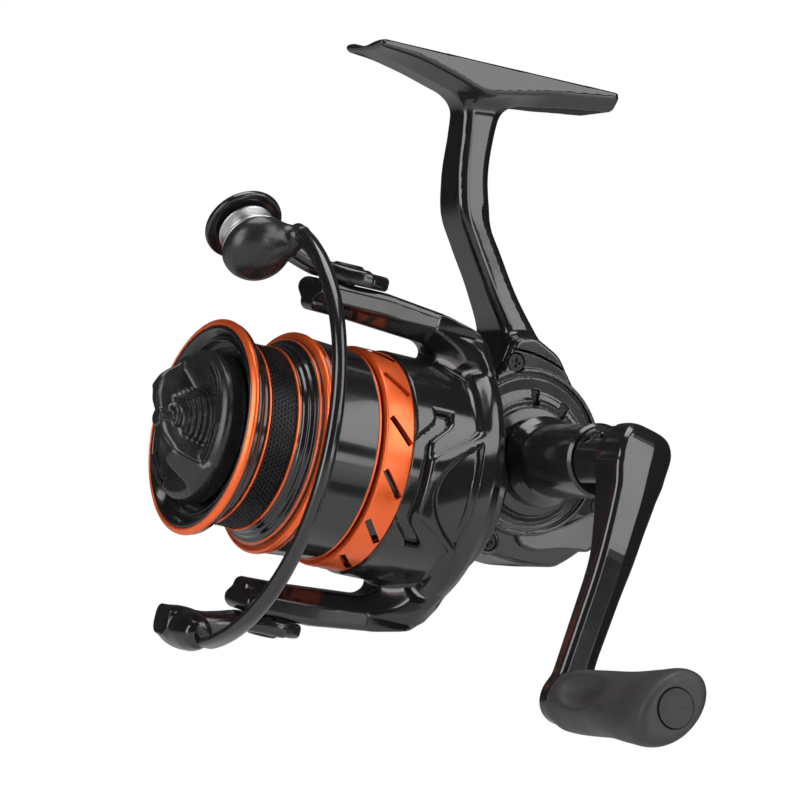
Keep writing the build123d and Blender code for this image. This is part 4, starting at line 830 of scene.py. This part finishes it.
def cone_form(s, n, r):
    along, away = about(s, n, r, roller_place, roller_axis)
    dome = polygon(along, away, dome_side)
    neck = join(rod_form(s, n, r, dome_spot + (1.5, 0.2, 1.2), elbow, 3.0, 2.3),
                rod_form(s, n, r, elbow, wire_spot(76), 2.3, 1.85), 1.6)
    return join(dome, neck, 1.6)


moulded("wire_cone_shell", rotor_bench, (-7.0, -3.0, 24.0), (12.0, 19.0, 46.0), 0.28,
        cone_form, "satin_black", "bail", "wire_cone")

# %% The wire
wire_rings = []
for angle in np.linspace(79, -75, 96):
    turn = math.radians(angle)
    outward = np.array((0, math.cos(turn), math.sin(turn)))
    low_end = min(max(-angle - 20, 0) / 50, 1)
    swell = 0.35 * max(0, (angle - 30) / 50)
    thick = wire_radius + swell - 0.45 * low_end
    wide = wire_radius + swell + 0.5 * low_end
    square = 2.0 + 1.2 * low_end
    ring = []
    for t in np.linspace(0, 2 * math.pi, 24, endpoint=False):
        x, y = math.cos(t), math.sin(t)
        far = (abs(x) ** square + abs(y) ** square) ** (-1 / square)
        ring.append(wire_spot(angle) + thick * far * x * outward
                    + np.array((wide * far * y, 0, 0)))
    wire_rings.append(ring)
piece("wire_arc", rotor_bench, [skinned(wire_rings)], "gloss_black", "bail", "bail_wire")

# %% The lower lever
nut_side = rounded([(-2.8, -1.0), (-2.8, 2.6), (-1.4, 3.7), (2.0, 4.0), (7.0, 3.7), (9.6, 2.8),
                    (10.3, 1.8), (10.3, -1.0)], 1.4)


def bail_lever_form(s, n, r):
    middle = curve_through(s, (1.0, 6.0, 10.0, 14.0, 17.0, 20.0, 24.0),
                           (-37.4, -37.6, -37.2, -36.0, -35.0, -34.5, -34.4))
    thick = curve_through(s, (1, 6, 12, 17, 20, 24), (2.6, 2.9, 2.2, 1.6, 1.45, 1.45))
    half = curve_through(s, (2.0, 8.0, 13.0, 18.0, 24.0), (3.0, 3.2, 3.6, 4.6, 6.6))
    lever = bevelled(np.abs(r - middle) * 0.93 - thick, np.abs(n - 0.4) - half, 1.0)
    lever = np.maximum(lever, np.maximum(1.6 - s, s - 25.0))
    pad = edged(np.hypot(s - 24.0, n) - 6.8, np.abs(r + 34.45) - 1.45, 1.0)
    nut = polygon(n, np.hypot(s - 5.6, r + 38.3), nut_side)
    whole = join(join(lever, pad, 0.8), nut, 1.0)
    whole = carve(whole, np.maximum(-arm_face - r, arm_front - s))
    return carve(whole, np.maximum(np.hypot(s - pivot_station, n) - 3.4, r + 35.3), 0.2)


moulded("bail_lever_shell", rotor_bench, (-0.6, -9.0, -45.0), (32.4, 12.6, -31.0), 0.28,
        bail_lever_form, "gloss_black", "bail", "bail_lever")

# %% [markdown]
# ## The body, the stem and the foot
#
# One moulding carries everything: a flat gear case, a round nose inside the rotor, a curved
# stem and the foot that clamps to a rod. It is clay again, on the reel's own bench. The case
# is an outline with a rounded far edge, the stem is a row of sections that change with height,
# and the foot is a wedge with a channel along its seat.

# %% The body
case_line = rounded([(56.4, -12.5), (71.0, -13.7), (78.5, -12.8), (83.5, -8.5), (87.6, -5.0),
                     (88.2, 2.0), (85.6, 8.0), (78.4, 18.0), (70.4, 28.0), (64.6, 30.6),
                     (60.2, 29.5), (58.8, 24.0), (56.4, 20.0)], 1.4)
heights = (77.5, 68.0, 58.0, 51.0, 46.0, 38.0, 30.0, 24.0)
stem_fronts = (43.6, 44.3, 44.9, 46.6, 49.7, 55.1, 59.9, 60.9)
stem_rears = (53.4, 51.9, 52.1, 54.3, 57.7, 63.2, 69.3, 73.3)
stem_halves = (3.5, 4.0, 4.6, 4.9, 4.9, 5.1, 6.6, 8.2)
foot_middle, foot_half_length, foot_half_width = 48.6, 27.5, 7.5
foot_start, foot_end = foot_middle - foot_half_length, foot_middle + foot_half_length
channel_radius, channel_depth = 14.545, 1.0
case_far = -9.4
crank_s, crank_u = 66.5, 6.0  # the handle's axis seen from the side


def taper(u):
    """How far the case and its cover draw in towards their lower edge."""
    return 0.22 * np.maximum(-2.0 - u, 0)


def body_form(s, n, u):
    case = edged(polygon(s, u, case_line), case_far - n, 3.4)
    case = edged(case, n - np.minimum(8.2, 10.0 - taper(u)), 0.3)
    reach = np.hypot(n, u)
    nose = edged(reach - 18.9, np.maximum(47.5 - s, s - 58.8), 1.0)
    clutch = edged(reach - 10.2, np.maximum(40.2 - s, s - 50.0), 0.5)
    front = curve_through(u, heights, stem_fronts)
    back = curve_through(u, heights, stem_rears)
    share = (s - front) / (back - front)
    shelf = 1.1 * ramp(share, 0.60, 0.80) * ramp(-u, -55, -49)
    half = curve_through(u, heights, stem_halves) - shelf
    stem = bevelled((np.abs(s - (front + back) / 2) - (back - front) / 2) * 0.78,
                    np.abs(n) - half, 1.0, 0.8)
    stem = np.maximum(stem, np.maximum(23.0 - u, u - 79.5))
    seat = 81.4 + (s - foot_middle) * 0.0314
    foot_edge = curve_through(s, (foot_start, 31.9, 39.9, 44.5, 54.0, 61.0, 69.0, foot_end),
                              (1.5, 2.4, 4.4, 5.8, 4.7, 3.2, 2.1, 1.0))
    keel = curve_through(s, (foot_start, 25.6, 31.9, 39.9, 44.5, 54.0, 61.0, 69.0, foot_end),
                         (1.8, 2.9, 4.2, 6.2, 7.2, 6.6, 5.7, 4.6, 3.8))
    flat = 2.6 + 3.0 * ramp(s, 54, 66)
    slope = np.clip((np.abs(n) - flat) / (foot_half_width - flat), 0, 1.2)
    under = keel + (foot_edge - keel) * slope
    foot = edged((seat - under - u) * 0.9,
                 np.abs(n) - foot_half_width + 0.07 * (u - seat + 2), 0.7)
    foot = edged(foot, u - seat, 0.5)
    foot = edged(foot, np.maximum(foot_start - s, s - foot_end), 1.2)
    whole = join(join(case, nose, 1.0), stem, 2.6)
    whole = join(join(whole, clutch, 0.5), foot, 3.2)
    channel = channel_radius - np.hypot(n, u - seat - channel_radius + channel_depth)
    whole = np.maximum(whole, np.maximum(channel, u - seat))
    hole = np.hypot(s - crank_s, u - crank_u)
    whole = carve(whole, np.maximum(np.maximum(hole - 9.3, 8.0 - n), s - 59.0), 0.3)
    return join(whole, np.maximum(hole - 8.0, np.maximum(-12.0 - n, n + 5.0)), 0.6)


moulded("body_shell", reel_bench, (20.0, -20.0, -20.0), (90.0, 20.0, 84.0), 0.5,
        body_form, "gloss_black", "body", "body_frame")

# %% [markdown]
# ### The side cover and the rear guard
#
# The cover closes the open side of the gear case and uses the same outline, so the two always
# fit. Its face carries a raised crescent, a stepped ring round the handle, two notches, a seam
# and three dished screw holes. The guard wraps the case's lower rear corner. It is the case's
# outline grown a little, and cut to a leaf seen from the side.

# %% The side cover
notch_turns = (62.0, 93.0)
screw_spots = ((60.9, 24.6), (84.8, 0.5), (61.2, -10.8))
boss_s, boss_u = screw_spots[-1]
ring_side = [(8.6, -1.0), (8.6, 13.9), (10.2, 13.8), (11.0, 13.4), (11.1, 12.5), (11.9, 12.0),
             (11.9, 10.8), (13.1, 10.4), (13.6, 8.6), (14.0, 8.2), (14.0, -1.0)]


def side_cover_form(s, n, u):
    face = 10.2 - taper(u)
    cover = edged(polygon(s, u, case_line) + 0.12, np.maximum(n - face, face - 1.85 - n), 0.8)
    boss = edged(np.hypot(s - boss_s, u - boss_u) - 2.7, np.maximum(n - 10.0, 7.0 - n), 0.5)
    cover = join(cover, boss, 0.6)
    reach = np.hypot(s - crank_s, u - crank_u)
    outer = np.hypot(s - crank_s, u - 7.9)
    turn = np.degrees(np.arctan2(u - crank_u, s - crank_s))
    crescent = edged(outer - 16.4, np.maximum(n - 10.9, 8.5 - n), 0.35)
    cover = join(cover, np.maximum(crescent, u - 24.6), 0.15)
    cover = carve(cover, np.maximum(np.abs(outer - 15.1) - 0.45, 10.1 - n), 0.2)
    cover = join(cover, polygon(n, reach, ring_side), 0.5)
    for spot in notch_turns:
        gap = np.abs((turn - spot + 180) % 360 - 180) * 0.21
        cover = carve(cover, np.maximum(np.maximum(gap - 0.75, np.abs(reach - 12.6) - 1.6),
                                        10.4 - n), 0.15)
    seam = np.abs(u - 27.2 + 0.02 * (s - 62.0) ** 2) - 0.16
    cover = carve(cover, np.maximum(seam, 9.7 - n), 0.1)
    for spot_s, spot_u in screw_spots:
        cover = carve(cover, np.maximum(np.hypot(s - spot_s, u - spot_u) - 1.9, 9.3 - n), 0.25)
    return np.maximum(np.maximum(cover, 57.0 - s), 3.4 - reach)


leaf_line = rounded([(67.2, -8.3), (68.9, -10.2), (72.4, -10.7), (78.0, -9.3), (82.0, -8.7),
                     (92.0, -8.7), (92.0, 4.0), (87.5, 2.2), (83.7, -0.6), (77.1, -4.8),
                     (71.6, -6.7)], 0.6)


def rear_guard_form(s, n, u):
    wall = polygon(s, u, case_line)
    guard = edged(wall - 0.6, np.maximum(n - 10.8 - 0.10 * u, case_far - n), 0.8)
    guard = edged(guard, polygon(s, u, leaf_line), 0.4)
    return carve(guard, np.maximum(wall + 1.3, n - 7.2), 0.2)


moulded("rear_guard_leaf", reel_bench, (66.4, -10.2, -11.6), (90.0, 12.0, 5.0), 0.28,
        rear_guard_form, "gloss_black", "body", "rear_guard")
moulded("side_cover_shell", reel_bench, (56.2, 7.6, -15.2), (89.6, 14.8, 31.8), 0.26,
        side_cover_form, "gloss_black", "body", "side_cover")

# %% [markdown]
# ## The crank and its knob
#
# The crank arm is clay on its own bench: an oval hub, a narrow bar that bends outward, and a
# round boss for the knob. The knob is a soft paddle that twists a quarter turn, with a hollow
# for the thumb.

# %% The crank arm
bar_front = rounded([(-5.9, -2.0), (-4.8, -13.0), (-4.0, -26.0), (-3.7, 4.6 - crank_length),
                     (-3.8, -crank_length), (3.8, -crank_length), (3.7, 4.6 - crank_length),
                     (4.0, -26.0), (4.8, -13.0), (5.9, -2.0)], 1.5)
bar_side = rounded([(46.9, 6.4), (50.3, 6.6), (52.6, 6.2), (54.6, 3.2), (56.7, -7.0),
                    (57.9, -20.0), (57.9, -54.2), (53.4, -54.2), (53.4, 5.6 - crank_length),
                    (53.0, -21.0), (50.0, -13.0), (46.9, -5.0)], 2.4)


def crank_form(a, o, h):
    hub = np.hypot(a / 6.5, h / 8.2) * 6.9 - 6.9
    boss = np.hypot(a, h + crank_length) - 4.6
    front_view = join(join(hub, polygon(a, h, bar_front), 1.6), boss, 1.5)
    ridge = 0.40 * join(np.zeros_like(a), 0.8 - a, 0.4) * ramp(-h, -7.0, 1.0)
    ridge = -ridge * ramp(h, -46.0, -38.0)
    side_view = polygon(o + ridge, h, bar_side)
    bar = edged(front_view, side_view, 1.5)
    slot_half = 1.0 * ramp(h, -26.0, -12.0)
    slot = np.maximum(np.abs(a - 2.6 + 0.05 * (h + 4)) - slot_half,
                      np.maximum(h + 4.0, (56.2 - 0.12 * (h + 7) - o) * 0.9))
    bar = carve(bar, np.maximum(slot, -26.0 - h), 0.3)
    neck = edged(np.hypot(a, h) - 6.6, np.maximum(38.7 - o, o - 47.6), 0.5)
    outward, across = 0.57 * h - 0.82 * a, 0.82 * h + 0.57 * a
    flat = np.maximum(5.2 - outward, np.maximum(np.abs(o - 43.4) - 3.4, np.abs(across) - 2.8))
    pin = edged(np.hypot(o - 43.0, across) - 1.0, np.maximum(outward - 6.2, 4.0 - outward), 0.3)
    whole = join(join(carve(neck, flat, 0.2), pin, 0.2), bar, 1.0)
    whole = carve(whole, np.maximum(np.abs(a) - 2.8, o - 47.2), 0.2)
    corner = np.maximum(np.maximum(o - 43.7, 1.3 - h), 5.2 - np.hypot(o - 43.7, h - 1.3))
    return carve(whole, corner, 0.3)


moulded("crank_arm", crank_bench, (-8.6, 37.6, -54.4), (8.6, 59.2, 10.4), 0.28,
        crank_form, "gloss_black", "crank", "handle_arm")

# %% The knob
knob_places = (58.2, 62.2, 70.2, 78.2, 86.2, 92.2, 94.2)


def knob_form(o, a, h):
    twist = np.radians(curve_through(o, knob_places, (0, 10, 25, 40, 55, 62, 63)))
    wide = curve_through(o, knob_places, (5.5, 6.2, 7.2, 8.0, 8.6, 8.5, 7.9))
    high = curve_through(o, knob_places, (5.5, 5.9, 6.1, 5.9, 5.8, 5.7, 5.2))
    p = a * np.cos(twist) + h * np.sin(twist)
    q = h * np.cos(twist) - a * np.sin(twist)
    grip = (np.hypot(p / wide, q / high) - 1) * np.minimum(wide, high) * 0.9
    thumb = np.sqrt(((o - 70.5) / 9.5) ** 2 + ((a + 9.4) / 6.0) ** 2 + ((h - 0.4) / 4.3) ** 2)
    grip = carve(grip, (thumb - 1) * 4.3, 0.8)
    grip = edged(grip, np.maximum(58.2 - o, o - 94.2), 1.2)
    grip = carve(grip, np.maximum(np.hypot(a, h) - 3.7, 91.2 - o), 0.3)
    return carve(grip, np.maximum(np.hypot(a, h) - 2.8, o - 64.0), 0.2)


moulded("knob_paddle", knob_bench, (57.6, -10.2, -10.2), (95.0, 10.2, 10.2), 0.3,
        knob_form, "grip_rubber", "knob", "knob_grip")

# %% [markdown]
# ## The drag knob
#
# The knob on the front of the spool is turned with two fingers. A round rim carries a wing
# that is narrow at the hub and flares out to the rim. Round steps rise to the hub beside it,
# and short raised bars in pairs on the rim give the fingers a grip. The wing, steps and bars
# melt into each other, so clay suits the knob better than a turned profile with boxes on it.

# %% The drag knob
lean_angle = math.radians(128)  # the wing's turn from the handle's side
bar_turns, bar_rings = (46, -20, 226, 160), (11.85, 13.05)
rim_side = rounded([(0.4, -1.0), (0.4, 5.6), (-2.2, 10.7), (-2.5, 11.2), (-2.5, 13.4),
                    (-1.7, 14.5), (-0.6, 14.7), (2.2, 14.7), (2.4, 14.4), (2.4, 12.9),
                    (1.2, 12.9), (1.2, -1.0)], 0.4)
step_side = [(-4.7, -1.0), (-4.7, 4.7), (-3.8, 4.8), (-3.7, 5.3), (-2.9, 5.4), (-2.8, 5.9),
             (-2.0, 6.0), (-1.9, 6.5), (-1.1, 6.6), (-1.0, 7.1), (0.8, 7.2), (0.8, -1.0)]


def drag_knob_form(s, n, u):
    v = n * math.cos(lean_angle) + u * math.sin(lean_angle)
    w = n * math.sin(lean_angle) - u * math.cos(lean_angle)
    reach = np.hypot(n, u)
    rim = polygon(s, reach, rim_side)
    rim = join(rim, polygon(s, reach, step_side), 0.3)
    wing_half = 1.25 + 0.05 * np.abs(v) + 0.0075 * v * v
    crest = -9.1 + 1.1 * ramp(np.abs(v), 4.0, 9.5) + 5.4 * ramp(np.abs(v), 8.8, 14.4)
    wing = edged(np.abs(w) - wing_half - 0.10 * (s + 4.0), (crest - s) * 0.85, 1.1)
    wing = np.maximum(wing, np.maximum(s - 1.0, reach - 14.0))
    hub_post = edged(reach - 2.8, np.maximum(-6.2 - s, s), 0.4)
    pin = edged(reach - 1.7, np.maximum(-9.3 - s, s), 0.4)
    whole = join(join(join(rim, wing, 1.6), hub_post, 0.8), pin, 0.3)
    turn = np.degrees(np.arctan2(u, n))
    for centre in bar_turns:
        gap = (turn - centre + 180) % 360 - 180
        past = np.maximum(np.abs(gap) - 17.0, 0) * 0.21
        for ring in bar_rings:
            bar = np.hypot(past, reach - ring) - 0.40
            whole = join(whole, np.maximum(np.maximum(bar, -3.15 - s), s + 2.0), 0.12)
    return whole


moulded("drag_knob_shell", reel_bench, (-10.2, -15.4, -15.4), (3.2, 15.4, 15.4), 0.22,
        drag_knob_form, "satin_black", "drag", "drag_knob")

# %% [markdown]
# ## The stage, the lights and the camera
#
# The floor is one flat pale square. Gloss black shows nothing but reflections, so large soft
# lamps give it its shape: a broad one above, a tall one in front, one at the side, and a strip
# and a low lamp for thin highlights. The world is bright behind the reel and dim behind the
# camera. Is Camera Ray makes floor and background look white without lighting the reel.

# %% The stage
floor_z = cad_low.z - 0.11
glow_share = 0.8  # how much of the floor's look to the camera is its own white
floor_mesh = bpy.data.meshes.new("floor")
floor_mesh.from_pydata([(-3, -3, floor_z), (3, -3, floor_z), (3, 3, floor_z), (-3, 3, floor_z)],
                       [], [(0, 1, 2, 3)])
floor = new_object("floor", floor_mesh)
floor_paint = bpy.data.materials.new("pale_floor")
floor_paint.use_nodes = True
tree = floor_paint.node_tree
add = node_maker(tree)
paint = tree.nodes["Principled BSDF"]
plug(tree, paint, {"Base Color": (0.9, 0.9, 0.9, 1), "Roughness": 0.6})
glow = add("ShaderNodeEmission", {"Color": (1, 1, 1, 1)})
seen = add("ShaderNodeLightPath").outputs["Is Camera Ray"]
blend = add("ShaderNodeMixShader", {0: math_maker(add)("MULTIPLY", seen, glow_share),
                                    1: paint.outputs["BSDF"], 2: glow.outputs["Emission"]})
plug(tree, tree.nodes["Material Output"], {"Surface": blend.outputs["Shader"]})
floor_mesh.materials.append(floor_paint)

# %% The world
azimuth, elevation, roll = map(math.radians, (-28.81, -6.46, 9.52))
back = Vector((math.sin(azimuth) * math.cos(elevation),
               -math.cos(azimuth) * math.cos(elevation), math.sin(elevation)))
world = bpy.data.worlds.new("studio")
bpy.context.scene.world = world
world.use_nodes = True
tree = world.node_tree
add = node_maker(tree)
room = tree.nodes["Background"]
direction = add("ShaderNodeTexCoord").outputs["Generated"]
facing = add("ShaderNodeVectorMath", {0: direction, 1: -back}, operation="DOT_PRODUCT")
fade = add("ShaderNodeMapRange", {"From Min": 0.15, "From Max": 0.85, "To Min": 0.10,
                                  "To Max": 0.95, "Value": facing.outputs["Value"]})
plug(tree, room, {"Strength": fade.outputs["Result"]})
plain = add("ShaderNodeBackground", {"Color": (1, 1, 1, 1), "Strength": 1.0})
seen = add("ShaderNodeLightPath").outputs["Is Camera Ray"]
choose = add("ShaderNodeMixShader", {"Fac": seen, 1: room.outputs["Background"],
                                     2: plain.outputs["Background"]})
plug(tree, tree.nodes["World Output"], {"Surface": choose.outputs["Shader"]})

# %% The lamps
scene_middle = Vector(((lip_x + 42.3) / 1000, 0, (spool_z + 13.6) / 1000))


def lamp(name, place, size, tall, power):
    """A soft rectangular lamp that looks at the middle of the reel."""
    light = bpy.data.lights.new(name, "AREA")
    light.shape = "RECTANGLE"
    light.size, light.size_y = size, tall
    light.energy = power
    obj = new_object(name, light)
    obj.location = scene_middle + Vector(place)
    obj.rotation_euler = (scene_middle - obj.location).to_track_quat("-Z", "Y").to_euler()


lamp("top_lamp", (-0.10, -0.05, 0.90), 0.7, 0.6, 5.5)
lamp("front_lamp", (-0.85, -0.17, 0.10), 0.42, 0.8, 5.0)
lamp("side_lamp", (0.40, -0.70, 0.50), 0.55, 0.80, 4.8)
lamp("strip_lamp", (0.12, -0.90, 0.08), 0.14, 0.45, 0.8)
lamp("low_lamp", (0.44, -0.80, -0.085), 0.7, 0.12, 0.8)

# %% The camera
camera_reach = 1.003  # metres from the camera to the point that it looks at
level = Vector((math.cos(azimuth), math.sin(azimuth), 0))
above = back.cross(level)
right = math.cos(roll) * level + math.sin(roll) * above
top = math.cos(roll) * above - math.sin(roll) * level
camera_data = bpy.data.cameras.new("camera")
camera_data.sensor_width = 36.0
camera_data.lens = 231.8
camera = new_object("camera", camera_data)
target = Vector(((lip_x + 42.28) / 1000, 0, (spool_z + 13.58) / 1000))
camera.location = target + back * camera_reach
camera.rotation_euler = Matrix((right, top, back)).transposed().to_euler()
bpy.context.scene.camera = camera
bpy.context.scene.view_settings.view_transform = "Standard"

# %% The sizes
print("CAD size:", [round((b - a) * 1000, 1) for a, b in zip(cad_low, cad_high)])
